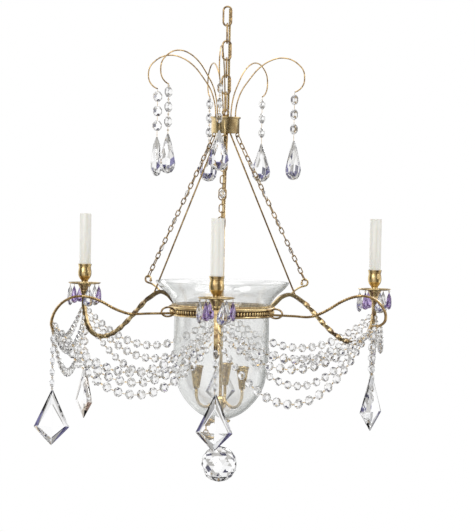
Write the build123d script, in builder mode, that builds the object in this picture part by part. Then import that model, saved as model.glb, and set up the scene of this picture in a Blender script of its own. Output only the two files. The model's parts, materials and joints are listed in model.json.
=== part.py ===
from build123d import *
import os
from math import asin, cos, pi, radians, sin, tan

# A bell-jar chandelier in antique brass: a suspension chain, a crown of six thin fronds hung
# with crystal strands, three support chains, a glass bell in a brass gallery ring, three
# candle arms, three lower fronds, six large kite crystals and swags of octagon beads.
# Millimetres, +Z up. The origin is the point where the top link hangs from its ceiling hook.
# An azimuth is counted in degrees from the front (-Y) towards the right (+X).

# ---- clearances ----
PLAY = 0.1  # between pieces of one body that touch on the real object
FREE = 0.3  # between bodies that move on each other

# ---- suspension chain and supply cord ----
LINK_COUNT = 6  # the top link included
LINK_LONG = 38.2
LINK_WIDE = 18.0
LINK_WIRE = 3.5
CORD_WIDTH = 4.0
CORD_ASIDE = 4.6  # of the cord's line from the chain's, along X and along Y
CORD_TOP = -2.0
CORD_GAP = 1.6  # where the cord bends at the crown, which leaves room for the swing

# ---- crown ----
LOOP_INSIDE = 8.0
LOOP_WIRE = 3.0
LOOP_STANDS = 12.0  # from the loop's inner top down to the crown's top face
LOOP_COLLAR = 3.5  # radius of the collar under the loop
CROWN_RADIUS = 25.5
CROWN_WALL = 2.0
CROWN_TALL = 29.0
CROWN_PLATE = 2.5
CROWN_LIP = 2.0
CROWN_LIP_TALL = 2.5
EYE_WIRE = 2.0
EYE_RADIUS = 3.5  # of the three eyes under the crown, at their wire's middle
CROWN_TO_RING = 353.5  # from the crown's top face down to the middle of the gallery ring

# ---- crown fronds and their strands; route as (radius, height over the crown) ----
FROND_WIRE = 2.4
CROWN_FROND_ROUTE = [
    (18, 0), (20.3, 25), (27.3, 47.4), (42, 70.5), (60, 92), (78, 104.5), (98.5, 110.5),
    (118, 107.5), (130.7, 99.4), (139.2, 89.7), (142.3, 74.5), (139.8, 62), (133, 53.6),
    (124.7, 49.2),
]
FROND_FOOT = 50.0  # height over which a frond's own lift grows
# name: azimuth, lift of the hand-bent frond, the way its drop faces
CROWN_FRONDS = {
    "front": (-5, 10.5, 0),
    "front_left": (-55, 4.5, -40),
    "left": (-95, 0.0, -60),
    "back_left": (-166, -7.0, -150),
    "back_right": (147, -6.3, 160),
    "right": (85, -2.5, 40),
}
STRAND_BEADS = 3
STRAND_BEAD = 18.0
STRAND_BEAD_THICK = 10.0
STRAND_PITCH = 26.5
STRAND_FIRST = 14.0  # from the frond's end to the middle of the first bead
DROP_BELOW = 21.0  # from the middle of the last bead to the drop's top
DROP_WIDE = 36.0
DROP_TALL = 71.0
DROP_THICK = 17.0

# ---- support chains, their crystals and the straight wires beside them ----
ARMS = {"front": -1.7, "right": 115.0, "left": -124.0}
CHAIN_WIRE = 2.0
CHAIN_BIG_LONG = 26.5
CHAIN_BIG_WIDE = 15.0
CHAIN_SMALL_LONG = 19.3
CHAIN_SMALL_WIDE = 12.0
CHAIN_TIE_WIDE = 8.4
CHAIN_ORDER = "sc" * 2 + "bcsc" * 3 + "b" + "cs" * 2  # big, small and connecting links
# side: the twist of its links from the tangent plane at the crown and at the hook
CHAIN_TWIST = {"front": (0.0, 0.0), "right": (58.0, 12.0), "left": (-58.0, -12.0)}
CHAIN_GEM_LONG = 15.6
CHAIN_GEM_WIDE = 10.4
CHAIN_GEM_THICK = 7.0
WIRE_WIDTH = 3.0
WIRE_TOP_RADIUS = 9.5
WIRE_TOP_DROP = 24.0  # of the wire's bend below the crown's top face
WIRE_ASIDE = 4.0
WIRE_ARM_RADIUS = 153.0
WIRE_ARM_HEIGHT = 23.5
WIRE_ARM_ASIDE = 2.6

# ---- stem, glass bell and gallery ring; heights are over the ring's middle ----
STEM_RADIUS = 3.0
GLASS_WALL = 3.0
BELL_OUTSIDE = [
    (121, 52.5), (116, 45.5), (108, 37.8), (100.6, 31.5), (94.5, 24.5), (90.2, 16.5),
    (87.6, 9), (86.5, -1), (86.5, -43), (86.5, -85.5), (84, -110.5), (78.5, -135.5),
    (67.8, -156.5), (46.6, -180), (30, -190.5), (13, -196.5),
]
BELL_HOLE = 4.2
RING_BORE = 87.2
RING_TOP = 12.5
RING_BOTTOM = -8.5
WASHER_RADIUS = 12.0
WASHER_THICK = 1.5
CAP_RADIUS = 19.0
CAP_TALL = 8.0
CAP_EYE_RADIUS = 5.0  # at its wire's middle
CAP_EYE_WIRE = 2.0

# ---- candle arms; route as (radius, height over the ring's middle) ----
ARM_WIDTH = 8.5
CANDLE_RADIUS = 317.0
ARM_END = 27.5
ARM_ROUTE = [
    (93, 3), (108, 14.5), (120, 25), (136, 30.2), (147.5, 27.5), (159.4, 20.5), (173, 11.5),
    (190, -4.9), (209.6, -24), (230, -41.5), (255.7, -56.5), (278, -60.5), (298, -52.5),
    (311, -33), (CANDLE_RADIUS, -8), (CANDLE_RADIUS, 9), (CANDLE_RADIUS, ARM_END),
]
HOOK_WIRE = 3.5
HOOK_BALL = 2.7
HOOK_MIDDLE = (168.0, 52.5)
HOOK_RADIUS = 6.25
HOOK_START = [(140, 31), (152, 40.5), (161, 44.6)]
HOOK_OPENS = 200.0  # where the curl ends, in degrees round its middle
HOOK_ASIDE = -1.0  # of the hook from the arm's plane, which leaves room for the wire

# ---- candles; heights are over the arm's end ----
POST_RADIUS = 4.6
BORE_PLAY = 0.15
BOBECHE_RADIUS = 31.0
BOBECHE_HEIGHT = 10.0
BOBECHE_THICK = 1.4
BOBECHE_RISE = 3.0
COLLAR_BELOW = 8.0
COLLAR_RADIUS = 13.0
CUP_TALL = 37.0
CUP_RADIUS = 12.8
SEAT_DEPTH = 3.0
SLEEVE_RADIUS = 11.0
SLEEVE_WALL = 1.1
SLEEVE_TALL = 99.0
SOCKET_RADIUS = 9.0
SOCKET_TALL = 48.0
SOCKET_BORE = 6.1
SOCKET_DEPTH = 26.0
SOCKET_BELOW_RIM = 6.0

# ---- small drops round each bobeche ----
SMALL_DROPS = 6
SMALL_DROP_RADIUS = 28.0
SMALL_DROP_TURN = 24.0
SMALL_DROP_PIN = 4.0
CLEAR_DROP = (21.0, 38.0, 10.0)  # wide, tall, thick
AMETHYST_DROP = (17.0, 32.0, 9.0)

# ---- lower fronds, through oval eyelets to the ring; route as for the arms ----
LOWER_WIRE = 5.0
EYELET_HEIGHT = 0.5
EYELET_LONG = 30.0
EYELET_TALL = 20.0
EYELET_WIRE = 3.5
RING_EDGE = 96.5
ROD_HEIGHT = -2.1
LEVEL_ROUTE = [
    (150, ROD_HEIGHT), (188.6, ROD_HEIGHT), (206, 2.5), (222.7, 9), (242.4, 19), (262.2, 26.5),
    (283, 29.8), (304, 27.6), (323, 17.5), (335.3, 3.1), (340.5, -10), (341.5, -19),
    (338, -28),
]
HIGH_ROUTE = [
    (150, ROD_HEIGHT), (180, ROD_HEIGHT), (200, 4), (220, 14), (242, 27), (264, 36),
    (285, 39.3), (305, 36), (320, 25), (329, 10), (328, -3), (318, -11), (303, -13),
]
LOWER_FRONDS = {
    "left": (-60.0, LEVEL_ROUTE),
    "right": (60.0, HIGH_ROUTE),
    "back": (180.0, LEVEL_ROUTE),
}

# ---- inner candle cluster, in the bell ----
INNER_AZIMUTHS = (-64.0, 54.0, 170.0)
HUB_TOP = -154.5
HUB_BOTTOM = -178.5
HUB_RADIUS = 11.0
HUB_FOOT = 6.5
INNER_WIRE = 5.5
INNER_RADIUS = 48.5
INNER_CUP_BASE = -139.0
INNER_CUP_TALL = 41.0
INNER_CUP_RADIUS = 12.0
INNER_CUP_FOOT = 5.0
INNER_WALL = 1.6
INNER_ROUTE = [
    (9, -160), (17, -168.5), (28, -173.5), (39, -170), (46, -161), (INNER_RADIUS, -151),
    (INNER_RADIUS, -145), (INNER_RADIUS, INNER_CUP_BASE),
]

# ---- hanging ball ----
BALL_RADIUS = 33.0
BALL_LINK_LONG = 24.0
BALL_LINK_WIDE = 10.0
BALL_SHANK = 6.0
BALL_SHANK_RADIUS = 1.7

# ---- kite crystals and the beads over them ----
KITE_WIDE = 62.0
KITE_TALL = 96.5
KITE_THICK = 13.0
KITE_SHOULDER = 64.5
KITE_BEAD = 14.0
KITE_BEAD_THICK = 8.0
KITE_GAP = 5.0
KITE_FIRST = 7.0  # from the rod's skin to the first bead
# name: what it hangs from, its radius, its number of beads, the way it faces
KITES = {
    "front_arm": ("arm", "front", 314.0, 4, 0.0),
    "right_arm": ("arm", "right", 314.0, 4, 62.0),
    "left_arm": ("arm", "left", 314.0, 4, -57.0),
    "left_frond": ("frond", "left", 338.0, 5, 0.0),
    "right_frond": ("frond", "right", 304.0, 4, 50.0),
    "back_frond": ("frond", "back", 338.0, 4, 200.0),
}

# ---- garlands: three strands of graded octagon beads in each of six spans ----
GARLAND_END_BEAD = 10.0
GARLAND_MIDDLE_BEAD = 17.0
GARLAND_FLATNESS = 0.5  # a bead's thickness, as a share of its width
GARLAND_GAP = 7.0
GARLAND_LEAN = 5.0  # of the outer and inner strands from the span's plane, at mid-span
GARLAND_LEANS = (1, -1, 0)  # which way each of the three strands leans
ARM_TIES = (33.5, 46.5, 62.0)  # of the three strands, along the arm back from its end
FROND_TIES = (16.0, 9.0, 1.5)  # the same along a lower frond
FIRST_BEADS = (7.0, 10.0, 14.0)  # from each strand's ties to its outermost beads
TIE_PLAY = 0.85  # from a rod's skin to the strands tied beside it
PIN_WIDTH = 1.1
# span: the arm, the frond, the lowest heights of its three strands over the ring's middle
SPANS = {
    "front_right": ("front", "right", (-67.5, -84.0, -143.5)),
    "side_right": ("right", "right", (-62.0, -90.5, -150.0)),
    "back_right": ("right", "back", (-82.0, -103.5, -155.5)),
    "back_left": ("left", "back", (-84.0, -108.5, -140.0)),
    "side_left": ("left", "left", (-55.5, -75.0, -116.5)),
    "front_left": ("front", "left", (-93.0, -111.0, -131.5)),
}

# ---- heights that follow ----
LINK_PITCH = LINK_LONG - 2 * LINK_WIRE - 2 * PLAY
LOOP_TOP = -LINK_COUNT * LINK_PITCH
SWING_HEIGHT = LOOP_TOP + LOOP_WIRE / 2
CROWN = LOOP_TOP - LOOP_STANDS
RING = CROWN - CROWN_TO_RING
BELL_BOTTOM = BELL_OUTSIDE[-1][1]
CAP_TOP = BELL_BOTTOM - PLAY - WASHER_THICK - PLAY
STEM_BOTTOM = CAP_TOP - CAP_TALL
ARM_TOP = RING + ARM_END
CUP_FOOT = ARM_TOP + BOBECHE_HEIGHT + BOBECHE_THICK + PLAY
CUP_TOP = CUP_FOOT + CUP_TALL
SLEEVE_FOOT = CUP_TOP - SEAT_DEPTH + FREE
UP = Vector(0, 0, 1)
STRAIGHT = 0.0005


def spot(azimuth, radius, height=0.0, aside=0.0):
    """A point by azimuth, radius and height, moved aside towards larger azimuths."""
    turn = radians(azimuth)
    x = radius * sin(turn) + aside * cos(turn)
    y = aside * sin(turn) - radius * cos(turn)
    return Vector(x, y, height)


def spoke(azimuth, radius=0.0, height=0.0):
    """An upright plane along a radius, its x outwards and its y up."""
    outward = spot(azimuth, 1.0)
    return Plane(spot(azimuth, radius, height), x_dir=outward, z_dir=outward.cross(UP))


def facing(point, azimuth):
    """An upright plane through a point that faces along an azimuth, its y up."""
    return Plane(point, x_dir=spot(azimuth, 0.0, aside=1.0), z_dir=spot(azimuth, 1.0))


def headings(points):
    """The curve's direction at each point, from the circle through its neighbours."""
    steps = [after - before for before, after in zip(points, points[1:])]
    inner = [
        (before.normalized() * after.length + after.normalized() * before.length).normalized()
        for before, after in zip(steps, steps[1:])
    ]
    first = steps[0].normalized()
    last = steps[-1].normalized()
    start = first * (2 * first.dot(inner[0])) - inner[0]
    finish = last * (2 * last.dot(inner[-1])) - inner[-1]
    return [start, *inner, finish]


def bend(start, finish, leaving):
    """An arc that leaves its start in a direction, or a line where it hardly turns."""
    chord = finish - start
    along = chord.normalized()
    rise = leaving - along * leaving.dot(along)
    if rise.length < STRAIGHT:
        Line(tuple(start), tuple(finish))
        return
    bulge = chord.length / 2 * tan(asin(rise.length) / 2)
    middle = (start + finish) / 2 + rise.normalized() * bulge
    ThreePointArc(tuple(start), tuple(middle), tuple(finish))


def flow(points):
    """Tangent arcs through the points, two to each span, in the line in use."""
    spots = [Vector(*point) for point in points]
    ways = headings(spots)
    for start, finish, leaving, arriving in zip(spots, spots[1:], ways, ways[1:]):
        across = finish - start
        both = across.dot(leaving + arriving)
        turn = 2 * (1 - leaving.dot(arriving))
        if turn < STRAIGHT**2:
            reach = across.dot(across) / (4 * across.dot(arriving))
        else:
            reach = ((both**2 + turn * across.dot(across)) ** 0.5 - both) / turn
        middle = (start + finish + (leaving - arriving) * reach) / 2
        passing = (finish - start - (leaving + arriving) * reach).normalized()
        bend(start, middle, leaving)
        bend(middle, finish, passing)


def inset(points, distance):
    """The points moved sideways, to the right of the curve through them."""
    spots = [Vector(*point) for point in points]
    return [
        (spot_.X + way.Y * distance, spot_.Y - way.X * distance)
        for spot_, way in zip(spots, headings(spots))
    ]


def wire_through(plane, points, width):
    """A round wire along tangent arcs through the points of a plane."""
    with BuildPart() as rod:
        with BuildLine(plane) as route:
            flow(points)
        path = route.wire()
        with BuildSketch(Plane(path @ 0, z_dir=path % 0)):
            Circle(width / 2)
        sweep(path=path)
    return rod.part


def turned(plane, points):
    """A piece turned round the plane's y axis from a closed outline of (radius, height)."""
    with BuildPart() as piece:
        with BuildSketch(plane):
            with BuildLine():
                Polyline(*points, close=True)
            make_face()
        revolve(axis=Axis(plane.origin, (0, 0, 1)))
    return piece.part


def chain_link(long, wide, wire):
    """A link in the XY plane that hangs along -Y from its inner top at the origin."""
    half = (wide - wire) / 2
    low = wire + half - long + wire / 2
    high = wire / 2 - half
    with BuildPart() as link:
        with BuildLine() as route:
            Line((half, high), (half, low))
            ThreePointArc((half, low), (0, low - half), (-half, low))
            Line((-half, low), (-half, high))
            ThreePointArc((-half, high), (0, high + half), (half, high))
        with BuildSketch(Plane((half, high, 0), z_dir=(0, -1, 0))):
            Circle(wire / 2)
        sweep(path=route.wire())
    return link.part


def gem(outline, table, edge, thick):
    """A cut crystal: an outline with an edge all round, drawn in to a table on each face."""
    with BuildPart() as stone:
        with BuildSketch(Plane.XY.offset(-edge / 2)):
            Polygon(*outline, align=None)
        extrude(amount=edge)
        for side in (1, -1):
            with BuildSketch(Plane.XY.offset(side * edge / 2)):
                Polygon(*outline, align=None)
            with BuildSketch(Plane.XY.offset(side * thick / 2)):
                Polygon(*table, align=None)
            loft(ruled=True)
    return stone.part


def scaled(points, across, along, shift=0.0):
    """The points drawn in towards the axis and lengthwise, then shifted."""
    return [(x * across, y * along + shift) for x, y in points]


def octagon(long, wide, thick):
    """An octagon crystal with flats at both ends, for pins."""
    steps = [radians(22.5 + 45 * k) for k in range(8)]
    ring = [(long / 2 * cos(a) / cos(pi / 8), wide / 2 * sin(a) / cos(pi / 8)) for a in steps]
    return gem(ring, scaled(ring, 0.55, 0.55), thick * 0.25, thick)


PEAR = [(0.04, 0.0), (0.2, -0.22), (0.4, -0.5), (0.5, -0.68), (0.45, -0.82), (0.26, -0.95)]


def pear(wide, tall, thick):
    """A pear drop that hangs along -Y from its top at the origin."""
    right = scaled(PEAR, wide, tall)
    left = [(-x, y) for x, y in reversed(right)]
    outline = [*right, (0, -tall), *left]
    return gem(outline, scaled(outline, 0.55, 0.62, -tall * 0.25), thick * 0.14, thick)


def kite():
    """A large kite crystal that hangs along -Y from its top at the origin."""
    half = KITE_WIDE / 2
    outline = [(1.2, 0), (half, -KITE_SHOULDER), (0, -KITE_TALL), (-half, -KITE_SHOULDER), (-1.2, 0)]
    inner = half * 0.66
    table = [(0.6, -6), (inner, -KITE_SHOULDER + 3), (0, -KITE_TALL + 17)]
    table += [(-inner, -KITE_SHOULDER + 3), (-0.6, -6)]
    return gem(outline, table, 1.6, KITE_THICK)


def pin(start, finish):
    """A brass pin from one point to another, short of each by the play."""
    way = (finish - start).normalized()
    with BuildPart(Plane(start + way * PLAY, z_dir=way)) as wire:
        length = (finish - start).length - 2 * PLAY
        Cylinder(PIN_WIDTH / 2, length, align=(Align.CENTER, Align.CENTER, Align.MIN))
    return wire.part


def hung_beads(top, bead, size, gaps, azimuth):
    """Beads and pins straight down from a point, and the height that they reach."""
    pieces = []
    low = top
    for gap in gaps[:-1]:
        middle = low - UP * (gap + size / 2)
        pieces.append(pin(low, middle + UP * size / 2))
        pieces.append(bead.moved(facing(middle, azimuth).rotated((0, 0, 90)).location))
        low = middle - UP * size / 2
    foot = low - UP * gaps[-1]
    pieces.append(pin(low, foot))
    return pieces, foot


def drape(start, finish, lowest, lean):
    """Points of a hanging strand: a parabola between its ends, leant out at mid-span."""
    across = finish - start
    aside = Vector(across.Y, -across.X, 0).normalized()
    sag = (start.Z + finish.Z) / 2 - lowest
    points = []
    for step in range(121):
        share = step / 120
        lift = -4 * sag * share * (1 - share)
        swell = lean * abs(sin(pi * share)) ** 0.6
        points.append(start + across * share + UP * lift + aside * swell)
    return points


def along(points, distance):
    """The place and the direction at a distance along a line of points."""
    left = distance
    for before, after in zip(points, points[1:]):
        step = after - before
        if left <= step.length:
            break
        left -= step.length
    return before + step.normalized() * left, step.normalized()


def tied(points, back):
    """The radius and height of a rod's middle at a distance back from its end."""
    place, _ = along([Vector(*point) for point in reversed(points)], back)
    return place.X, place.Y


def strand(points, beads, first):
    """Graded beads with pins between them along a hanging line, the first end set back."""
    length = sum((after - before).length for before, after in zip(points, points[1:]))
    count = 1
    while True:
        sizes = [graded((k + 0.5) / count) for k in range(count)]
        gap = (length - 2 * first - sum(sizes)) / max(count - 1, 1)
        if gap < GARLAND_GAP:
            break
        count += 1
    pieces = []
    ends = [points[0]]
    reach = first
    for size in sizes:
        middle, way = along(points, reach + size / 2)
        normal = way.cross(UP).normalized()
        pieces.append(beads[size].moved(Plane(middle, x_dir=way, z_dir=normal).location))
        ends += [middle - way * size / 2, middle + way * size / 2]
        reach += size + gap
    ends.append(points[-1])
    pieces += [pin(a, b) for a, b in zip(ends[::2], ends[1::2])]
    return pieces


def graded(share):
    """A bead's width by its place along a strand, to the next even millimetre."""
    width = GARLAND_END_BEAD + (GARLAND_MIDDLE_BEAD - GARLAND_END_BEAD) * sin(pi * share)
    return 2.0 * round(width / 2)


os.makedirs("parts", exist_ok=True)

# ---- suspension chain ----
long_link = chain_link(LINK_LONG, LINK_WIDE, LINK_WIRE)
with BuildPart() as top_link:
    add(long_link.moved(facing(Vector(0, 0, 0), 0).location))
top_link.part.label = "top_link"
export_step(top_link.part, "parts/top_link.step")

with BuildPart() as suspension_links:
    for number in range(1, LINK_COUNT):
        place = facing(Vector(0, 0, -number * LINK_PITCH + PLAY), 90 * (number % 2))
        add(long_link.moved(place.location))
suspension_links.part.label = "suspension_links"
export_step(suspension_links.part, "parts/suspension_links.step")

with BuildPart() as supply_cord:
    with BuildSketch(Plane.XY.offset(SWING_HEIGHT)):
        with Locations((CORD_ASIDE, CORD_ASIDE)):
            Circle(CORD_WIDTH / 2)
    extrude(amount=CORD_TOP - SWING_HEIGHT)
supply_cord.part.label = "supply_cord"
export_step(supply_cord.part, "parts/supply_cord.step")

# ---- crown ----
with BuildPart() as cord_tail:
    with BuildSketch(Plane.XY.offset(CROWN - CROWN_PLATE)):
        with Locations((CORD_ASIDE, CORD_ASIDE)):
            Circle(CORD_WIDTH / 2)
    extrude(amount=SWING_HEIGHT - CORD_GAP - CROWN + CROWN_PLATE)
cord_tail.part.label = "cord_tail"
export_step(cord_tail.part, "parts/cord_tail.step")

with BuildPart() as crown_loop:
    loop_middle = LOOP_TOP - LOOP_INSIDE / 2
    with BuildSketch(Plane.XZ):
        with Locations((0, loop_middle)):
            Circle(LOOP_INSIDE / 2 + LOOP_WIRE)
            Circle(LOOP_INSIDE / 2, mode=Mode.SUBTRACT)
    extrude(amount=LOOP_WIRE / 2, both=True)
    fillet(crown_loop.edges(), LOOP_WIRE / 2 * 0.8)
    with BuildSketch(Plane.XY.offset(CROWN + PLAY)):
        Circle(LOOP_COLLAR)
    extrude(amount=loop_middle - LOOP_INSIDE / 2 - LOOP_WIRE / 2 - CROWN)
    with BuildSketch(Plane.XY.offset(CROWN + PLAY)):
        Circle(STEM_RADIUS)
    extrude(amount=-CROWN_PLATE)
crown_loop.part.label = "crown_loop"
export_step(crown_loop.part, "parts/crown_loop.step")

with BuildPart() as crown_band:
    wall = CROWN_RADIUS - CROWN_WALL
    lip = CROWN_RADIUS + CROWN_LIP
    with BuildSketch(Plane.XZ):
        with BuildLine():
            Polyline(
                (0, CROWN), (lip, CROWN), (lip, CROWN - CROWN_LIP_TALL),
                (CROWN_RADIUS, CROWN - CROWN_LIP_TALL - 1), (CROWN_RADIUS, CROWN - CROWN_TALL),
                (wall, CROWN - CROWN_TALL), (wall, CROWN - CROWN_PLATE), (0, CROWN - CROWN_PLATE),
                close=True,
            )
        make_face()
    revolve(axis=Axis.Z)
    eye_radius = CROWN_RADIUS - CROWN_WALL / 2
    eye_height = CROWN - CROWN_TALL - EYE_RADIUS + EYE_WIRE / 4
    for side, azimuth in ARMS.items():
        eye_place = spot(azimuth, eye_radius, eye_height)
        eye_plane = spoke(azimuth - CHAIN_TWIST[side][0])
        with Locations(Plane(eye_place, x_dir=eye_plane.x_dir, z_dir=eye_plane.z_dir)):
            Torus(EYE_RADIUS, EYE_WIRE / 2)
    with BuildSketch(Plane.XY.offset(CROWN)):
        Circle(STEM_RADIUS + BORE_PLAY)
        with Locations((CORD_ASIDE, CORD_ASIDE)):
            Circle(CORD_WIDTH / 2 + BORE_PLAY)
    extrude(amount=-CROWN_PLATE, mode=Mode.SUBTRACT)
crown_band.part.label = "crown_band"
export_step(crown_band.part, "parts/crown_band.step")

with BuildPart() as crown_fronds:
    for azimuth, lift, _ in CROWN_FRONDS.values():
        bent = [(r, h + PLAY + lift * min(1, h / FROND_FOOT)) for r, h in CROWN_FROND_ROUTE]
        add(wire_through(spoke(azimuth, height=CROWN), bent, FROND_WIRE))
crown_fronds.part.label = "crown_fronds"
export_step(crown_fronds.part, "parts/crown_fronds.step")

strand_bead = octagon(STRAND_BEAD, STRAND_BEAD, STRAND_BEAD_THICK)
big_drop = pear(DROP_WIDE, DROP_TALL, DROP_THICK)
for name, (azimuth, lift, view) in CROWN_FRONDS.items():
    end_radius, end_height = CROWN_FROND_ROUTE[-1]
    hang = spot(azimuth, end_radius, CROWN + end_height + PLAY + lift * min(1, end_height / FROND_FOOT))
    top = hang - UP * (FROND_WIRE / 2 + FREE)
    gaps = [STRAND_FIRST - STRAND_BEAD / 2 - FROND_WIRE / 2 - FREE]
    gaps += [STRAND_PITCH - STRAND_BEAD] * (STRAND_BEADS - 1)
    gaps += [DROP_BELOW - STRAND_BEAD / 2]
    pieces, foot = hung_beads(top, strand_bead, STRAND_BEAD, gaps, view)
    with BuildPart() as crown_strand:
        add([*pieces, big_drop.moved(facing(foot, view).location)])
    crown_strand.part.label = f"crown_strand_{name}"
    export_step(crown_strand.part, f"parts/crown_strand_{name}.step")

# ---- gallery ring ----
gallery_ring = turned(
    spoke(90, height=RING),
    [
        (RING_BORE, RING_BOTTOM), (90.2, RING_BOTTOM), (91.5, -5.5), (94.5, -4), (96, -1.5),
        (RING_EDGE, 0), (96, 1.5), (94.5, 4), (95.5, 5.5), (97.6, 7), (97.6, 8.5), (95, 10),
        (93, 10.6), (92, RING_TOP), (90.2, RING_TOP), (88.6, 7.5), (RING_BORE, 3),
    ],
)
gallery_ring.label = "gallery_ring"
export_step(gallery_ring, "parts/gallery_ring.step")

# ---- candle arms and their scroll hooks ----
arm_parts = {}
for side, azimuth in ARMS.items():
    with BuildPart() as arm:
        add(wire_through(spoke(azimuth, height=RING), ARM_ROUTE, ARM_WIDTH))
        add(gallery_ring, mode=Mode.SUBTRACT)
    arm_parts[side] = arm.part
    arm.part.label = f"arm_{side}"
    export_step(arm.part, f"parts/arm_{side}.step")

with BuildPart() as chain_hooks:
    x, y = HOOK_MIDDLE
    turns = [-90 + k * (HOOK_OPENS + 90) / 6 for k in range(7)]
    curl = [(x + HOOK_RADIUS * cos(radians(a)), y + HOOK_RADIUS * sin(radians(a))) for a in turns]
    for azimuth in ARMS.values():
        plane = spoke(azimuth, height=RING).offset(-HOOK_ASIDE)
        add(wire_through(plane, HOOK_START + curl, HOOK_WIRE))
        with Locations(plane.from_local_coords(Vector(*curl[-1]))):
            Sphere(HOOK_BALL)
    for part in arm_parts.values():
        add(part, mode=Mode.SUBTRACT)
chain_hooks.part.label = "chain_hooks"
export_step(chain_hooks.part, "parts/chain_hooks.step")

# ---- support chains ----
chain_gem = octagon(CHAIN_GEM_LONG, CHAIN_GEM_WIDE, CHAIN_GEM_THICK)
chain_gems = []
for side, azimuth in ARMS.items():
    chain_top = spot(azimuth, eye_radius, eye_height - EYE_RADIUS + EYE_WIRE / 2 + 3 * PLAY)
    hook_under = RING + HOOK_MIDDLE[1] + HOOK_RADIUS - HOOK_WIRE / 2 - PLAY
    chain_foot = spot(azimuth, HOOK_MIDDLE[0], hook_under, HOOK_ASIDE)
    span = chain_foot - chain_top
    down = span.normalized()
    big = CHAIN_BIG_LONG - 2 * CHAIN_WIRE
    small = CHAIN_SMALL_LONG - 2 * CHAIN_WIRE
    rest = span.length - big * CHAIN_ORDER.count("b") - small * CHAIN_ORDER.count("s")
    tie = rest / CHAIN_ORDER.count("c")
    inner = {"b": big, "s": small, "c": tie}
    wide = {"b": CHAIN_BIG_WIDE, "s": CHAIN_SMALL_WIDE, "c": CHAIN_TIE_WIDE}
    slack = {kind: 2 * CHAIN_WIRE + PLAY for kind in "bsc"}
    shapes = {kind: chain_link(inner[kind] + slack[kind], wide[kind], CHAIN_WIRE) for kind in "bsc"}
    sideways = spot(azimuth, 0.0, aside=1.0)
    twist_top, twist_end = CHAIN_TWIST[side]
    passed = 0.0
    links = []
    for number, kind in enumerate(CHAIN_ORDER):
        twist = twist_top + (twist_end - twist_top) * number / (len(CHAIN_ORDER) - 1)
        if kind == "c":
            twist += 90
        across = sideways.rotate(Axis((0, 0, 0), down), twist)
        place = Plane(chain_top + down * passed, x_dir=across, z_dir=across.cross(-down))
        links.append(shapes[kind].moved(place.location))
        if kind == "b":
            middle = chain_top + down * (passed + big / 2)
            setting = Plane(middle, x_dir=down, z_dir=across.cross(-down))
            chain_gems.append(chain_gem.moved(setting.location))
        passed += inner[kind]
    with BuildPart() as support_chain:
        add(links)
    support_chain.part.label = f"support_chain_{side}"
    export_step(support_chain.part, f"parts/support_chain_{side}.step")

with BuildPart() as chain_crystals:
    add(chain_gems)
chain_crystals.part.label = "chain_crystals"
export_step(chain_crystals.part, "parts/chain_crystals.step")

with BuildPart() as arm_wires:
    for azimuth in ARMS.values():
        start = spot(azimuth, WIRE_TOP_RADIUS, CROWN - CROWN_PLATE - PLAY, WIRE_ASIDE)
        corner = spot(azimuth, WIRE_TOP_RADIUS, CROWN - WIRE_TOP_DROP, WIRE_ASIDE)
        finish = spot(azimuth, WIRE_ARM_RADIUS, RING + WIRE_ARM_HEIGHT, WIRE_ARM_ASIDE)
        with BuildLine() as route:
            FilletPolyline(start, corner, finish, radius=30)
        path = route.wire()
        with BuildSketch(Plane(path @ 0, z_dir=path % 0)):
            Circle(WIRE_WIDTH / 2)
        sweep(path=path)
    for part in arm_parts.values():
        add(part, mode=Mode.SUBTRACT)
arm_wires.part.label = "arm_wires"
export_step(arm_wires.part, "parts/arm_wires.step")

# ---- stem and glass bell ----
with BuildPart() as stem:
    with BuildSketch(Plane.XY.offset(CROWN - CROWN_PLATE)):
        Circle(STEM_RADIUS)
    extrude(amount=RING + STEM_BOTTOM - CROWN + CROWN_PLATE)
stem.part.label = "stem"
export_step(stem.part, "parts/stem.step")

with BuildPart() as glass_bell:
    outside = BELL_OUTSIDE
    inside = inset(outside, GLASS_WALL)
    with BuildSketch(spoke(90, height=RING)):
        with BuildLine():
            flow(outside)
            Line(outside[-1], (BELL_HOLE, outside[-1][1]))
            Line((BELL_HOLE, outside[-1][1]), (BELL_HOLE, outside[-1][1] + GLASS_WALL))
            Line((BELL_HOLE, outside[-1][1] + GLASS_WALL), inside[-1])
            flow(inside[::-1])
            Line(inside[0], outside[0])
        make_face()
    revolve(axis=Axis.Z)
glass_bell.part.label = "glass_bell"
export_step(glass_bell.part, "parts/glass_bell.step")

bell_washer = turned(
    spoke(90, height=RING + BELL_BOTTOM - PLAY - WASHER_THICK),
    [
        (STEM_RADIUS + BORE_PLAY, 0), (WASHER_RADIUS, 0),
        (WASHER_RADIUS, WASHER_THICK), (STEM_RADIUS + BORE_PLAY, WASHER_THICK),
    ],
)
bell_washer.label = "bell_washer"
export_step(bell_washer, "parts/bell_washer.step")

with BuildPart() as bell_cap:
    with BuildSketch(spoke(90, height=RING + CAP_TOP)):
        with BuildLine():
            Polyline(
                (STEM_RADIUS + BORE_PLAY, 0), (CAP_RADIUS, 0), (CAP_RADIUS, -2), (CAP_RADIUS - 3, -4.5),
                (9, -CAP_TALL + 1), (7, -CAP_TALL - 3), (0, -CAP_TALL - 3), (0, -CAP_TALL - PLAY),
                (STEM_RADIUS + BORE_PLAY, -CAP_TALL - PLAY),
                close=True,
            )
        make_face()
    revolve(axis=Axis.Z)
    eye_middle = RING + STEM_BOTTOM - 3 - CAP_EYE_RADIUS
    with Locations(spoke(0, 0, eye_middle)):
        Torus(CAP_EYE_RADIUS, CAP_EYE_WIRE / 2)
bell_cap.part.label = "bell_cap"
export_step(bell_cap.part, "parts/bell_cap.step")

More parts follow.
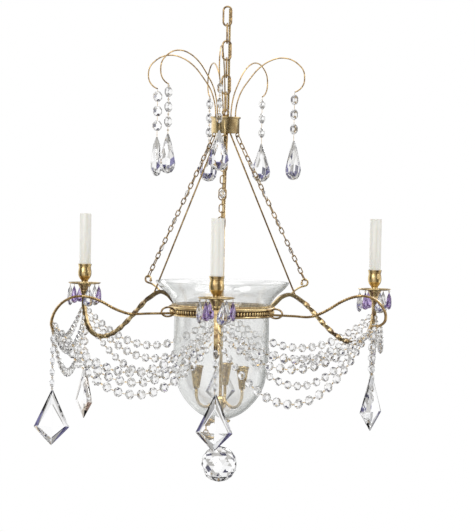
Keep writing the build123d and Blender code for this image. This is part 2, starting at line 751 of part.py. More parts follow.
# ---- candles ----
collars, bobeches, cups, sockets = [], [], [], []
post_hole = POST_RADIUS + BORE_PLAY
for side, azimuth in ARMS.items():
    candle = spoke(azimuth, CANDLE_RADIUS, ARM_TOP)
    collars.append(turned(candle, [
        (post_hole, -COLLAR_BELOW), (6.5, -COLLAR_BELOW), (7.5, -COLLAR_BELOW + 4), (9, 2),
        (COLLAR_RADIUS, BOBECHE_HEIGHT - PLAY), (post_hole, BOBECHE_HEIGHT - PLAY),
    ]))
    rim = BOBECHE_HEIGHT + BOBECHE_RISE
    bobeches.append(turned(candle, [
        (post_hole, BOBECHE_HEIGHT), (16, BOBECHE_HEIGHT), (27, BOBECHE_HEIGHT + 0.6),
        (BOBECHE_RADIUS, rim - 0.8), (BOBECHE_RADIUS, rim), (BOBECHE_RADIUS - 1.2, rim),
        (26.5, BOBECHE_HEIGHT + 2), (16, BOBECHE_HEIGHT + BOBECHE_THICK),
        (post_hole, BOBECHE_HEIGHT + BOBECHE_THICK),
    ]))
    cup = spoke(azimuth, CANDLE_RADIUS, CUP_FOOT)
    floor = CUP_TALL - SEAT_DEPTH
    seat = SLEEVE_RADIUS + FREE
    cups.append(turned(cup, [
        (post_hole, 0), (8, 0), (8, 1.5), (6.5, 3), (6.5, 5), (8.5, 8), (11.2, 12.5),
        (CUP_RADIUS, 19), (12.4, 26), (11.2, 30), (11.2, 31.5), (CUP_RADIUS, 33.5),
        (CUP_RADIUS, CUP_TALL), (seat, CUP_TALL), (seat, floor), (post_hole, floor),
    ]))
    top = SLEEVE_FOOT + SLEEVE_TALL - SOCKET_BELOW_RIM - ARM_TOP
    sockets.append(turned(candle, [
        (0, PLAY), (POST_RADIUS, PLAY), (POST_RADIUS, top - SOCKET_TALL),
        (SOCKET_RADIUS, top - SOCKET_TALL + 2), (SOCKET_RADIUS, top), (SOCKET_BORE, top),
        (SOCKET_BORE, top - SOCKET_DEPTH), (0, top - SOCKET_DEPTH),
    ]))
    bore = SLEEVE_RADIUS - SLEEVE_WALL
    candle_sleeve = turned(spoke(azimuth, CANDLE_RADIUS, SLEEVE_FOOT), [
        (bore, 0), (SLEEVE_RADIUS, 0), (SLEEVE_RADIUS, SLEEVE_TALL), (bore, SLEEVE_TALL),
    ])
    candle_sleeve.label = f"candle_sleeve_{side}"
    export_step(candle_sleeve, f"parts/candle_sleeve_{side}.step")

with BuildPart() as candle_collars:
    add(collars)
candle_collars.part.label = "candle_collars"
export_step(candle_collars.part, "parts/candle_collars.step")

with BuildPart() as bobeche_dishes:
    add(bobeches)
bobeche_dishes.part.label = "bobeches"
export_step(bobeche_dishes.part, "parts/bobeches.step")

with BuildPart() as candle_cups:
    add(cups)
candle_cups.part.label = "candle_cups"
export_step(candle_cups.part, "parts/candle_cups.step")

with BuildPart() as lamp_sockets:
    add(sockets)
lamp_sockets.part.label = "lamp_sockets"
export_step(lamp_sockets.part, "parts/lamp_sockets.step")

# ---- small drops, clear and amethyst in turn, under each bobeche ----
small_gems = (pear(*CLEAR_DROP), pear(*AMETHYST_DROP))
clear_pieces, amethyst_pieces = [], []
for azimuth in ARMS.values():
    for number in range(SMALL_DROPS):
        turn = azimuth + SMALL_DROP_TURN + number * 360 / SMALL_DROPS
        outward = spot(turn, SMALL_DROP_RADIUS)
        rim_under = spot(azimuth, CANDLE_RADIUS, ARM_TOP + BOBECHE_HEIGHT + 0.5) + outward
        foot = rim_under - UP * SMALL_DROP_PIN
        drop = small_gems[number % 2].moved(facing(foot, turn).location)
        pieces = amethyst_pieces if number % 2 else clear_pieces
        pieces += [pin(rim_under, foot), drop]

with BuildPart() as clear_drops:
    add(clear_pieces)
clear_drops.part.label = "clear_drops"
export_step(clear_drops.part, "parts/clear_drops.step")

with BuildPart() as amethyst_drops:
    add(amethyst_pieces)
amethyst_drops.part.label = "amethyst_drops"
export_step(amethyst_drops.part, "parts/amethyst_drops.step")

# ---- lower fronds and their eyelets ----
eyelet_middle = RING_EDGE + PLAY + EYELET_LONG / 2
with BuildPart() as ring_eyelets:
    for azimuth, _ in LOWER_FRONDS.values():
        plane = spoke(azimuth, eyelet_middle, RING + EYELET_HEIGHT)
        with BuildLine(plane) as route:
            EllipticalCenterArc(
                (0, 0), (EYELET_LONG - EYELET_WIRE) / 2, (EYELET_TALL - EYELET_WIRE) / 2, arc_size=360,
            )
        path = route.wire()
        with BuildSketch(Plane(path @ 0, z_dir=path % 0)):
            Circle(EYELET_WIRE / 2)
        sweep(path=path)
ring_eyelets.part.label = "ring_eyelets"
export_step(ring_eyelets.part, "parts/ring_eyelets.step")

rod_start = (RING_EDGE + PLAY + EYELET_WIRE + PLAY, ROD_HEIGHT)
for side, (azimuth, bends) in LOWER_FRONDS.items():
    with BuildPart() as frond:
        plane = spoke(azimuth, height=RING)
        add(wire_through(plane, [rod_start, *bends], LOWER_WIRE))
        with Locations(plane.from_local_coords(Vector(*bends[-1]))):
            Sphere(LOWER_WIRE / 2)
        add(ring_eyelets.part, mode=Mode.SUBTRACT)
    frond.part.label = f"lower_frond_{side}"
    export_step(frond.part, f"parts/lower_frond_{side}.step")

# ---- inner candle cluster ----
inner_hub = turned(spoke(90, height=RING), [
    (STEM_RADIUS + BORE_PLAY, HUB_TOP), (5, HUB_TOP), (HUB_RADIUS, HUB_TOP - 5), (HUB_RADIUS, HUB_BOTTOM + 4),
    (HUB_FOOT, HUB_BOTTOM), (HUB_FOOT, BELL_BOTTOM + GLASS_WALL + PLAY),
    (STEM_RADIUS + BORE_PLAY, BELL_BOTTOM + GLASS_WALL + PLAY),
])
inner_hub.label = "inner_hub"
export_step(inner_hub, "parts/inner_hub.step")

with BuildPart() as inner_arms:
    for azimuth in INNER_AZIMUTHS:
        add(wire_through(spoke(azimuth, height=RING), INNER_ROUTE, INNER_WIRE))
    with BuildSketch(Plane.XY.offset(RING + HUB_BOTTOM)):
        Circle(HUB_RADIUS)
    extrude(amount=HUB_TOP - HUB_BOTTOM, mode=Mode.SUBTRACT)
    with BuildSketch(Plane.XY.offset(RING + INNER_CUP_BASE)):
        Circle(INNER_RADIUS + INNER_WIRE)
    extrude(amount=INNER_WIRE, mode=Mode.SUBTRACT)
inner_arms.part.label = "inner_arms"
export_step(inner_arms.part, "parts/inner_arms.step")

inner_cup_parts, inner_socket_parts = [], []
for azimuth in INNER_AZIMUTHS:
    cup = spoke(azimuth, INNER_RADIUS, RING + INNER_CUP_BASE + PLAY)
    inner_cup_parts.append(turned(cup, [
        (0, 0), (INNER_CUP_FOOT, 0), (INNER_CUP_RADIUS, INNER_CUP_TALL),
        (INNER_CUP_RADIUS - INNER_WALL, INNER_CUP_TALL),
        (INNER_CUP_FOOT - INNER_WALL + 0.6, 4), (0, 4),
    ]))
    inner_socket_parts.append(turned(cup, [
        (0, 4 + PLAY), (3, 4 + PLAY), (3.4, 8), (7.2, 26), (7.6, 38), (SOCKET_BORE, 38),
        (SOCKET_BORE, 24), (0, 22),
    ]))

with BuildPart() as inner_cups:
    add(inner_cup_parts)
inner_cups.part.label = "inner_cups"
export_step(inner_cups.part, "parts/inner_cups.step")

with BuildPart() as inner_sockets:
    add(inner_socket_parts)
inner_sockets.part.label = "inner_sockets"
export_step(inner_sockets.part, "parts/inner_sockets.step")

# ---- hanging ball ----
ball_link_top = eye_middle - CAP_EYE_RADIUS + CAP_EYE_WIRE / 2 + FREE
ball_shank_top = ball_link_top + CAP_EYE_WIRE - BALL_LINK_LONG + CAP_EYE_WIRE / 2
ball_middle = ball_link_top + CAP_EYE_WIRE - BALL_LINK_LONG - BALL_SHANK - BALL_RADIUS
with BuildPart() as ball_hook:
    loop = chain_link(BALL_LINK_LONG, BALL_LINK_WIDE, CAP_EYE_WIRE)
    add(loop.moved(facing(Vector(0, 0, ball_link_top), 0).location))
    with BuildSketch(Plane.XY.offset(ball_shank_top)):
        Circle(BALL_SHANK_RADIUS)
    extrude(amount=ball_middle + BALL_RADIUS - ball_shank_top)
    with Locations((0, 0, ball_middle)):
        Sphere(BALL_RADIUS, mode=Mode.SUBTRACT)
ball_hook.part.label = "ball_hook"
export_step(ball_hook.part, "parts/ball_hook.step")

with BuildPart() as crystal_ball:
    with Locations((0, 0, ball_middle)):
        Sphere(BALL_RADIUS)
crystal_ball.part.label = "crystal_ball"
export_step(crystal_ball.part, "parts/crystal_ball.step")

# ---- kite crystals ----
kite_bead = octagon(KITE_BEAD, KITE_BEAD, KITE_BEAD_THICK)
kite_crystal = kite()


def underside(points, width, radius):
    """The lowest height of a rod's skin near a radius, over a pin's width and its room."""
    with BuildLine() as route:
        flow(points)
    path = route.wire()
    middles = [path @ (k / 600) for k in range(601)]
    reach = PIN_WIDTH / 2 + FREE
    lows = [
        middle.Y - ((width / 2) ** 2 - (middle.X - place) ** 2) ** 0.5
        for place in (radius - reach, radius, radius + reach)
        for middle in middles
        if abs(middle.X - place) < width / 2
    ]
    return min(lows)


kite_hangs = {}
for name, (kind, side, radius, count, view) in KITES.items():
    if kind == "arm":
        azimuth, route, thickness = ARMS[side], ARM_ROUTE, ARM_WIDTH
    else:
        azimuth, route, thickness = *LOWER_FRONDS[side], LOWER_WIRE
    hang = spot(azimuth, radius, RING + underside(route, thickness, radius))
    kite_hangs[name] = hang
    top = hang - UP * FREE
    gaps = [KITE_FIRST, *[KITE_GAP] * count]
    pieces, foot = hung_beads(top, kite_bead, KITE_BEAD, gaps, view)
    with BuildPart() as hung_kite:
        add([*pieces, kite_crystal.moved(facing(foot, view).location)])
    hung_kite.part.label = f"kite_{name}"
    export_step(hung_kite.part, f"parts/kite_{name}.step")

# ---- garlands ----
sizes = {graded(k / 40) for k in range(41)}
garland_beads = {size: octagon(size, size, size * GARLAND_FLATNESS) for size in sizes}
span_ends = {}
for name, (arm_side, frond_side, lows) in SPANS.items():
    arm_azimuth = ARMS[arm_side]
    frond_azimuth, route = LOWER_FRONDS[frond_side]
    gap_turn = (frond_azimuth - arm_azimuth + 180) % 360 - 180
    way = 1 if gap_turn > 0 else -1
    pieces = []
    hang_from = zip(ARM_TIES, FROND_TIES, FIRST_BEADS, lows, GARLAND_LEANS)
    for arm_back, frond_back, first, lowest, lean in hang_from:
        radius, height = tied(ARM_ROUTE, arm_back)
        start = spot(arm_azimuth, radius, RING + height, way * (ARM_WIDTH / 2 + TIE_PLAY))
        radius, height = tied(route, frond_back)
        finish = spot(frond_azimuth, radius, RING + height, -way * (LOWER_WIRE / 2 + TIE_PLAY))
        line = drape(start, finish, RING + lowest, lean * way * GARLAND_LEAN)
        pieces += strand(line, garland_beads, first)
        if arm_back == ARM_TIES[1]:
            span_ends[name] = (start, finish)
    with BuildPart() as garland:
        add(pieces)
    garland.part.label = f"garland_{name}"
    export_step(garland.part, f"parts/garland_{name}.step")

# ---- places that the joints turn about ----
print("swing at top", round(-LINK_PITCH + PLAY + LINK_WIRE / 2, 3), "at crown", SWING_HEIGHT)
for name, hang in kite_hangs.items():
    print("kite", name, [round(v, 2) for v in hang])
for name, ends in span_ends.items():
    print("garland", name, [[round(v, 2) for v in end] for end in ends])
print("ball turns at", round(ball_link_top + CAP_EYE_WIRE / 2, 3), "ring", RING, "crown", CROWN)
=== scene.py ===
"""Looks of a bell-jar crystal chandelier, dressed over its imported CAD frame.

Lengths are metres and +Z is up. The origin is where the top link hangs from its hook, and an
azimuth is counted in degrees from the front (-Y) towards the right (+X).
"""

from __future__ import annotations

import json
import logging
import math
from dataclasses import dataclass, field
from enum import Enum
from typing import Callable, Iterable, Sequence

import bmesh
import bpy
import numpy as np
from mathutils import Matrix, Vector

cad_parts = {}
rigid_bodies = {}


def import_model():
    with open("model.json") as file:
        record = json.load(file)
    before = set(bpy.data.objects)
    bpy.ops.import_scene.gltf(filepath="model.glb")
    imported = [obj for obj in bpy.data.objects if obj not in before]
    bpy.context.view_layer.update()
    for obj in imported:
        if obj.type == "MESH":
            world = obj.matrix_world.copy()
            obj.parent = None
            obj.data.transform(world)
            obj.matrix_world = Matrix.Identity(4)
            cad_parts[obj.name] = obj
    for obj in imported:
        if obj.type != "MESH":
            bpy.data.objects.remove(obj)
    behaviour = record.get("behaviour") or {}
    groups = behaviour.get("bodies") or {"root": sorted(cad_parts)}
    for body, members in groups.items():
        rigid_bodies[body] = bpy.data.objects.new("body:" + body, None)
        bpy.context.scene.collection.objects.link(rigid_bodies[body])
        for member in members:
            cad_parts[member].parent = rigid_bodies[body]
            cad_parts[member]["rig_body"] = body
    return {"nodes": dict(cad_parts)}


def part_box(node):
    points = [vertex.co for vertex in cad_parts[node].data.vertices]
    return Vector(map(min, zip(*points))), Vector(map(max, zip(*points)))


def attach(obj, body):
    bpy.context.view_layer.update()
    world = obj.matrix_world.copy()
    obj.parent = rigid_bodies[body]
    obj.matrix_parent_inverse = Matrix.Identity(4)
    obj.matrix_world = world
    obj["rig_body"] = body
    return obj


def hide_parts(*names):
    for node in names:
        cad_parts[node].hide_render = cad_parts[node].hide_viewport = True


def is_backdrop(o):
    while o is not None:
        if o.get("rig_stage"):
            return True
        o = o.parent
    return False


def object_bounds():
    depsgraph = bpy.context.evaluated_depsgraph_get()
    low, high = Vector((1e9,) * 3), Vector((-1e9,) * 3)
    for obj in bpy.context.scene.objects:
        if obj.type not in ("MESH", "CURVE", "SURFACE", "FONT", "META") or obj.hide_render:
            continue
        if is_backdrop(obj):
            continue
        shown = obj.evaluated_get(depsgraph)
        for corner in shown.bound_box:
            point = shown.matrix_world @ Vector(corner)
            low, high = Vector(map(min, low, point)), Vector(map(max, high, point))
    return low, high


log = logging.getLogger("chandelier")

Colour = tuple[float, float, float]
Point = tuple[float, float]
MM = 0.001
RING_HEIGHT = -551.5 * MM
ARM_AZIMUTHS = {"front": -1.7, "right": 115.0, "left": -124.0}
FROND_AZIMUTHS = {"left": -60.0, "right": 60.0, "back": 180.0}
# The face layer that holds each facet's share of painted reflection.
FACET_REFLECTION = "facet"
DROP_RATIO = 1.25


# --- Shader maths ---


class Signal:
    """A socket that Python's operators work on, each adding one Math node."""

    def __init__(self, graph: "Graph", socket: bpy.types.NodeSocket) -> None:
        """Wraps a node's output socket of a graph."""
        self.graph = graph
        self.socket = socket

    def _math(self, operation: str, *values: "Signal | float") -> "Signal":
        """Adds a Math node on some values and gives its result."""
        sockets = dict(enumerate(values))
        return self.graph.node("ShaderNodeMath", {"operation": operation}, sockets)

    def __add__(self, other: "Signal | float") -> "Signal":
        """This value plus another."""
        return self._math("ADD", self, other)

    def __sub__(self, other: "Signal | float") -> "Signal":
        """This value less another."""
        return self._math("SUBTRACT", self, other)

    def __rsub__(self, other: float) -> "Signal":
        """A number less this value."""
        return self._math("SUBTRACT", other, self)

    def __mul__(self, other: "Signal | float") -> "Signal":
        """This value times another."""
        return self._math("MULTIPLY", self, other)

    def apply(self, operation: str, *values: "Signal | float") -> "Signal":
        """This value through a named operation of the Math node."""
        return self._math(operation, self, *values)

    def within(self, low: float, high: float) -> "Signal":
        """Nought to one, smoothly, as this value goes from low to high."""
        return self.graph.node(
            "ShaderNodeMapRange",
            {"interpolation_type": "SMOOTHSTEP", "clamp": True},
            {"Value": self, "From Min": low, "From Max": high},
        )

    def blend(self, low: "Signal | Colour", high: "Signal | Colour") -> "Signal":
        """A colour between two, by this value."""
        return self.graph.node(
            "ShaderNodeMix",
            {"data_type": "RGBA", "clamp_factor": True},
            {0: self, 6: low, 7: high},
            output=2,
        )


class Graph:
    """One node tree, filled by a single method that adds any node."""

    def __init__(self, tree: bpy.types.NodeTree) -> None:
        """Clears a node tree and takes it over."""
        self.tree = tree
        tree.nodes.clear()

    def node(
        self,
        kind: str,
        settings: dict[str, object] | None = None,
        sockets: dict[object, object] | None = None,
        output: int | str = 0,
    ) -> Signal:
        """Adds a node.

        Args:
            kind: the node's type name.
            settings: its own settings.
            sockets: values or signals by the input's name or number.
            output: the name or number of the output to give.

        Returns:
            The chosen output, which is empty where the node has none.
        """
        made = self.tree.nodes.new(kind)
        for name, value in (settings or {}).items():
            setattr(made, name, value)
        for name, value in (sockets or {}).items():
            socket = made.inputs[name]
            if isinstance(value, Signal):
                self.tree.links.new(value.socket, socket)
            elif isinstance(value, tuple) and socket.type == "RGBA":
                socket.default_value = (*value, 1.0)[:4]
            else:
                socket.default_value = value
        return Signal(self, made.outputs[output] if len(made.outputs) else None)

    def surface(self, sockets: dict[object, object]) -> Signal:
        """A Principled surface shader with these sockets."""
        return self.node("ShaderNodeBsdfPrincipled", {}, sockets)

    def axes(self, vector: Signal) -> list[Signal]:
        """A vector's x, y and z."""
        parts = self.node("ShaderNodeSeparateXYZ", {}, {0: vector})
        return [Signal(self, socket) for socket in parts.socket.node.outputs]

    def place(self) -> Signal:
        """The piece's own coordinates."""
        return self.node("ShaderNodeTexCoord", output="Object")

    def noise(self, scale: float, detail: float = 3.0, place: Signal | None = None) -> Signal:
        """Soft clouds of a scale, in counts per metre."""
        sockets = {"Vector": place or self.place(), "Scale": scale, "Detail": detail}
        return self.node("ShaderNodeTexNoise", {}, sockets)

    def stretched(self, scale: tuple[float, float, float]) -> Signal:
        """The piece's coordinates, stretched along the axes."""
        return self.node("ShaderNodeMapping", {}, {"Vector": self.place(), "Scale": scale})

    def bump(self, height: Signal, depth: float, strength: float = 1.0) -> Signal:
        """A normal from a height, in metres."""
        return self.node(
            "ShaderNodeBump", {}, {"Height": height, "Distance": depth, "Strength": strength}
        )


# --- Finishes ---


@dataclass(frozen=True)
class Finish:
    """A finish that makes its material once."""

    name: str
    slot: str

    def material(self) -> bpy.types.Material:
        """The finish's material, made on its first use."""
        name = f"finish_{self.name}"
        found = bpy.data.materials.get(name)
        if found is None:
            found = bpy.data.materials.new(name)
            found.use_nodes = True
            graph = Graph(found.node_tree)
            shader = self.shader(graph)
            graph.node("ShaderNodeOutputMaterial", {}, {"Surface": shader})
        return found

    def shader(self, graph: Graph) -> Signal:
        """The finish's surface shader."""
        raise NotImplementedError


@dataclass(frozen=True)
class AgedBrass(Finish):
    """Brass with a brown patina that is rubbed bright in patches."""

    patina: Colour = (0.30, 0.20, 0.10)
    body: Colour = (0.66, 0.50, 0.24)
    rubbed: Colour = (0.92, 0.78, 0.46)
    rough: float = 0.24
    cloud: float = 60.0
    grain: tuple[float, float, float] = (900.0, 900.0, 60.0)
    relief: float = 0.00008
    stipple: float = 0.0
    stipple_scale: float = 700.0
    flutes: float = 0.0

    def shader(self, graph: Graph) -> Signal:
        """Patina clouds, rubbed spots and a fine brushed grain."""
        clouds = graph.noise(self.cloud, 4.0)
        spots = graph.noise(self.cloud * 4.3, 2.0)
        streaks = graph.noise(1.0, 2.0, graph.stretched(self.grain))
        dark = clouds.within(0.36, 0.62)
        bright = (spots * 0.6 + streaks * 0.4).within(0.5, 0.72)
        colour = bright.blend(dark.blend(self.patina, self.body), self.rubbed)
        rough = (streaks - 0.5) * 0.16 + self.rough + (1 - dark) * 0.1
        height = streaks
        if self.stipple:
            cells = graph.node(
                "ShaderNodeTexVoronoi", {}, {"Vector": graph.place(), "Scale": self.stipple_scale}
            )
            height = streaks * 0.2 + cells * self.stipple
            colour = cells.within(0.1, 0.55).blend(self.patina, colour)
        if self.flutes:
            x, y, _ = graph.axes(graph.place())
            ribs = (y.apply("ARCTAN2", x) * self.flutes).apply("SINE")
            height = height * 0.1 + ribs
            colour = ribs.within(-1.0, -0.2).blend(self.patina, colour)
        return graph.surface({
            "Base Color": colour,
            "Metallic": 1.0,
            "Roughness": rough,
            "Normal": graph.bump(height, self.relief),
        })


@dataclass(frozen=True)
class CutCrystal(Finish):
    """Clear or tinted lead crystal whose facets carry painted reflections: grey on steep and
    random facets, dark at a few spots.
    """

    tint: Colour = (0.985, 0.985, 0.99)
    # Painted reflections: grey on steep and random facets, dark on the facets near a stone's
    # spots.
    painted_grey_reflection: Colour = (0.76, 0.75, 0.72)
    painted_dark_reflection: Colour = (0.05, 0.045, 0.16)
    bend: float = 1.58

    def shader(self, graph: Graph) -> Signal:
        """A refracting body with painted reflections tinted in facet by facet, faintly clouded."""
        shade = graph.node("ShaderNodeAttribute", {"attribute_name": FACET_REFLECTION}, output="Fac")
        drift = graph.noise(30.0, 2.0)
        grey_reflection_share = (shade + (drift - 0.5) * 0.16).within(0.3, 0.62)
        colour = grey_reflection_share.blend(self.tint, self.painted_grey_reflection)
        return graph.surface({
            "Base Color": shade.within(0.8, 0.9).blend(colour, self.painted_dark_reflection),
            "Roughness": drift * 0.015,
            "IOR": self.bend,
            "Transmission Weight": 1.0,
            "Normal": graph.bump(drift, 0.00002),
        })


@dataclass(frozen=True)
class BlownGlass(Finish):
    """Thin clear glass with painted grey shade where it is seen edge on."""

    veil: Colour = (0.76, 0.79, 0.76)
    # The outline's colour: painted shade where the glass is seen edge on.
    edge: Colour = (0.26, 0.28, 0.25)

    def shader(self, graph: Graph) -> Signal:
        """A veil that thickens towards the outline and turns to the painted edge shade there,
        under a clear reflection.
        """
        waves = graph.noise(1.0, 2.0, graph.stretched((16.0, 16.0, 7.0)))
        bumped = graph.bump(waves, 0.0008)
        facing = graph.node("ShaderNodeLayerWeight", {}, {"Blend": 0.5}, output="Facing")
        veil = graph.surface({
            # Painted shade towards the outline, by the facing angle.
            "Base Color": facing.within(0.6, 0.95).blend(self.veil, self.edge),
            "Roughness": waves * 0.1 + 0.05,
            "Alpha": facing.within(0.3, 1.0) * 0.42 + waves * 0.06 + 0.06,
            "Normal": bumped,
        })
        gloss = graph.node("ShaderNodeBsdfAnisotropic", {}, {"Roughness": 0.03, "Normal": bumped})
        fresnel = graph.node("ShaderNodeFresnel", {}, {"IOR": 1.45, "Normal": bumped})
        share = fresnel.apply("MINIMUM", 0.3) * 0.8
        return graph.node("ShaderNodeMixShader", {}, {0: share, 1: veil, 2: gloss})


@dataclass(frozen=True)
class IvorySleeve(Finish):
    """Moulded ivory, smooth and a little waxy."""

    pale: Colour = (0.90, 0.89, 0.83)
    warm: Colour = (0.80, 0.78, 0.68)

    def shader(self, graph: Graph) -> Signal:
        """Ivory with faint upright streaks."""
        streaks = graph.noise(1.0, 3.0, graph.stretched((220.0, 220.0, 14.0)))
        return graph.surface({
            "Base Color": streaks.within(0.35, 0.75).blend(self.pale, self.warm),
            "Roughness": streaks * 0.2 + 0.34,
            "Subsurface Weight": 0.15,
            "Subsurface Radius": (0.004, 0.003, 0.002),
            "Coat Weight": 0.25,
            "Coat Roughness": 0.25,
            "Normal": graph.bump(streaks, 0.00006),
        })


@dataclass(frozen=True)
class DullSocket(Finish):
    """Dark moulded lamp socket."""

    base: Colour = (0.055, 0.045, 0.04)
    dust: Colour = (0.16, 0.14, 0.12)

    def shader(self, graph: Graph) -> Signal:
        """Dark plastic with dust."""
        clouds = graph.noise(140.0)
        return graph.surface({
            "Base Color": clouds.within(0.5, 0.8).blend(self.base, self.dust),
            "Roughness": clouds * 0.2 + 0.5,
            "Normal": graph.bump(clouds, 0.00005),
        })


@dataclass(frozen=True)
class GoldSheath(Finish):
    """The supply cord's gold sheath with its spiral lay."""

    light: Colour = (0.60, 0.45, 0.19)
    # The colour in the grooves of the lay: painted shade.
    dark: Colour = (0.24, 0.15, 0.06)

    def shader(self, graph: Graph) -> Signal:
        """Slanting ribs along the cord, with painted shade in the grooves between them."""
        ribs = graph.node(
            "ShaderNodeTexWave",
            {"bands_direction": "DIAGONAL"},
            {"Vector": graph.stretched((160.0, 160.0, 130.0)), "Scale": 1.0, "Distortion": 0.6},
            output=1,
        )
        return graph.surface({
            "Base Color": ribs.blend(self.dark, self.light),
            "Metallic": 0.35,
            "Roughness": ribs * -0.15 + 0.5,
            "Normal": graph.bump(ribs, 0.0002),
        })


SATIN_BRASS = AgedBrass(
    "satin_brass", "antique_brass",
    patina=(0.44, 0.31, 0.15), body=(0.68, 0.52, 0.26), rubbed=(0.90, 0.76, 0.46), cloud=35.0,
)
CUP_BRASS = AgedBrass(
    "cup_brass", "antique_brass",
    patina=(0.30, 0.20, 0.09), body=(0.52, 0.39, 0.18), rubbed=(0.84, 0.69, 0.38), cloud=45.0,
)
BAR_BRASS = AgedBrass(
    "bar_brass", "antique_brass",
    patina=(0.20, 0.12, 0.065), body=(0.60, 0.45, 0.22), rubbed=(0.98, 0.84, 0.52), rough=0.16,
)
CHAIN_BRASS = AgedBrass(
    "chain_brass", "antique_brass",
    patina=(0.13, 0.08, 0.045), body=(0.38, 0.26, 0.13), rubbed=(0.72, 0.57, 0.30), cloud=130.0,
)
WIRE_BRASS = AgedBrass(
    "wire_brass", "antique_brass",
    patina=(0.20, 0.12, 0.05), body=(0.50, 0.34, 0.15), rubbed=(0.78, 0.6, 0.3), cloud=90.0,
)
PIN_BRASS = AgedBrass(
    "pin_brass", "antique_brass",
    patina=(0.30, 0.20, 0.09), body=(0.55, 0.4, 0.2), rubbed=(0.85, 0.7, 0.4), cloud=300.0,
)
STIPPLED_BRASS = AgedBrass(
    "stippled_brass", "antique_brass", body=(0.62, 0.46, 0.2), relief=0.0009, stipple=1.0,
    stipple_scale=420.0,
)
FLUTED_BRASS = AgedBrass("fluted_brass", "antique_brass", relief=0.0004, flutes=150.0)
# Near-black brass for the channel behind the gadroons: painted shade in the recess between the
# ring's bands.
RECESS_SHADE_BRASS = AgedBrass(
    "recess_shade_brass", "antique_brass",
    patina=(0.05, 0.03, 0.025), body=(0.10, 0.06, 0.04), rubbed=(0.2, 0.13, 0.07), rough=0.45,
)
CLEAR_CRYSTAL = CutCrystal("lead_crystal", "clear_crystal")
KITE_CRYSTAL = CutCrystal("kite_crystal", "clear_crystal", painted_grey_reflection=(0.72, 0.73, 0.75))
# A kite whose painted reflections are warm brown.
WARM_KITE = CutCrystal(
    "warm_kite", "clear_crystal", painted_grey_reflection=(0.86, 0.74, 0.60), painted_dark_reflection=(0.16, 0.09, 0.07)
)
AMETHYST = CutCrystal(
    "amethyst", "amethyst_glass", tint=(0.60, 0.47, 0.78), painted_grey_reflection=(0.24, 0.14, 0.42),
    painted_dark_reflection=(0.05, 0.02, 0.12),
)
BELL_GLASS = BlownGlass("blown_glass", "bell_glass")
IVORY = IvorySleeve("ivory", "ivory_sleeve")
SOCKET = DullSocket("socket", "lamp_socket")
SHEATH = GoldSheath("gold_sheath", "supply_cord")


# --- Meshes ---


class Shading(Enum):
    """How a piece's faces are shaded."""

    FACETED = 0.0
    ROUNDED = 34.0
    SOFT = 60.0


def spot(azimuth: float, radius: float, height: float = 0.0) -> Vector:
    """A point by azimuth in degrees, radius and height."""
    turn = math.radians(azimuth)
    return Vector((radius * math.sin(turn), -radius * math.cos(turn), height))


def spoke(azimuth: float, height: float = 0.0) -> Matrix:
    """The place of an upright radial plane, its x outwards, its y up and its z to the left."""
    out, up = spot(azimuth, 1.0), Vector((0, 0, 1))
    side = out.cross(up)
    matrix = Matrix((out, up, side)).transposed().to_4x4()
    matrix.translation = (0, 0, height)
    return matrix


def eased(points: Sequence[Point], step: float) -> list[Vector]:
    """A smooth curve through points of a plane.

    Args:
        points: places in millimetres.
        step: the distance between the curve's places, in metres.

    Returns:
        Places along the curve, in metres, each about a step from the last.
    """
    knots = [Vector(p) * MM for p in points]
    knots = [2 * knots[0] - knots[1], *knots, 2 * knots[-1] - knots[-2]]
    places: list[Vector] = []
    for before, start, finish, after in zip(knots, knots[1:], knots[2:], knots[3:]):
        count = max(1, round((finish - start).length / step))
        steps = ((before, start), (start, finish), (finish, after))
        pulls = [max((b - a).length, 1e-6) ** 0.5 for a, b in steps]
        leaving = (start - before) / pulls[0] - (finish - before) / (pulls[0] + pulls[1])
        leaving = (leaving + (finish - start) / pulls[1]) * pulls[1]
        arriving = (finish - start) / pulls[1] - (after - start) / (pulls[1] + pulls[2])
        arriving = (arriving + (after - finish) / pulls[2]) * pulls[1]
        for k in range(count):
            t = k / count
            places.append(
                start * (2 * t**3 - 3 * t**2 + 1) + leaving * (t**3 - 2 * t**2 + t)
                + finish * (3 * t**2 - 2 * t**3) + arriving * (t**3 - t**2)
            )
    places.append(knots[-2])
    return places


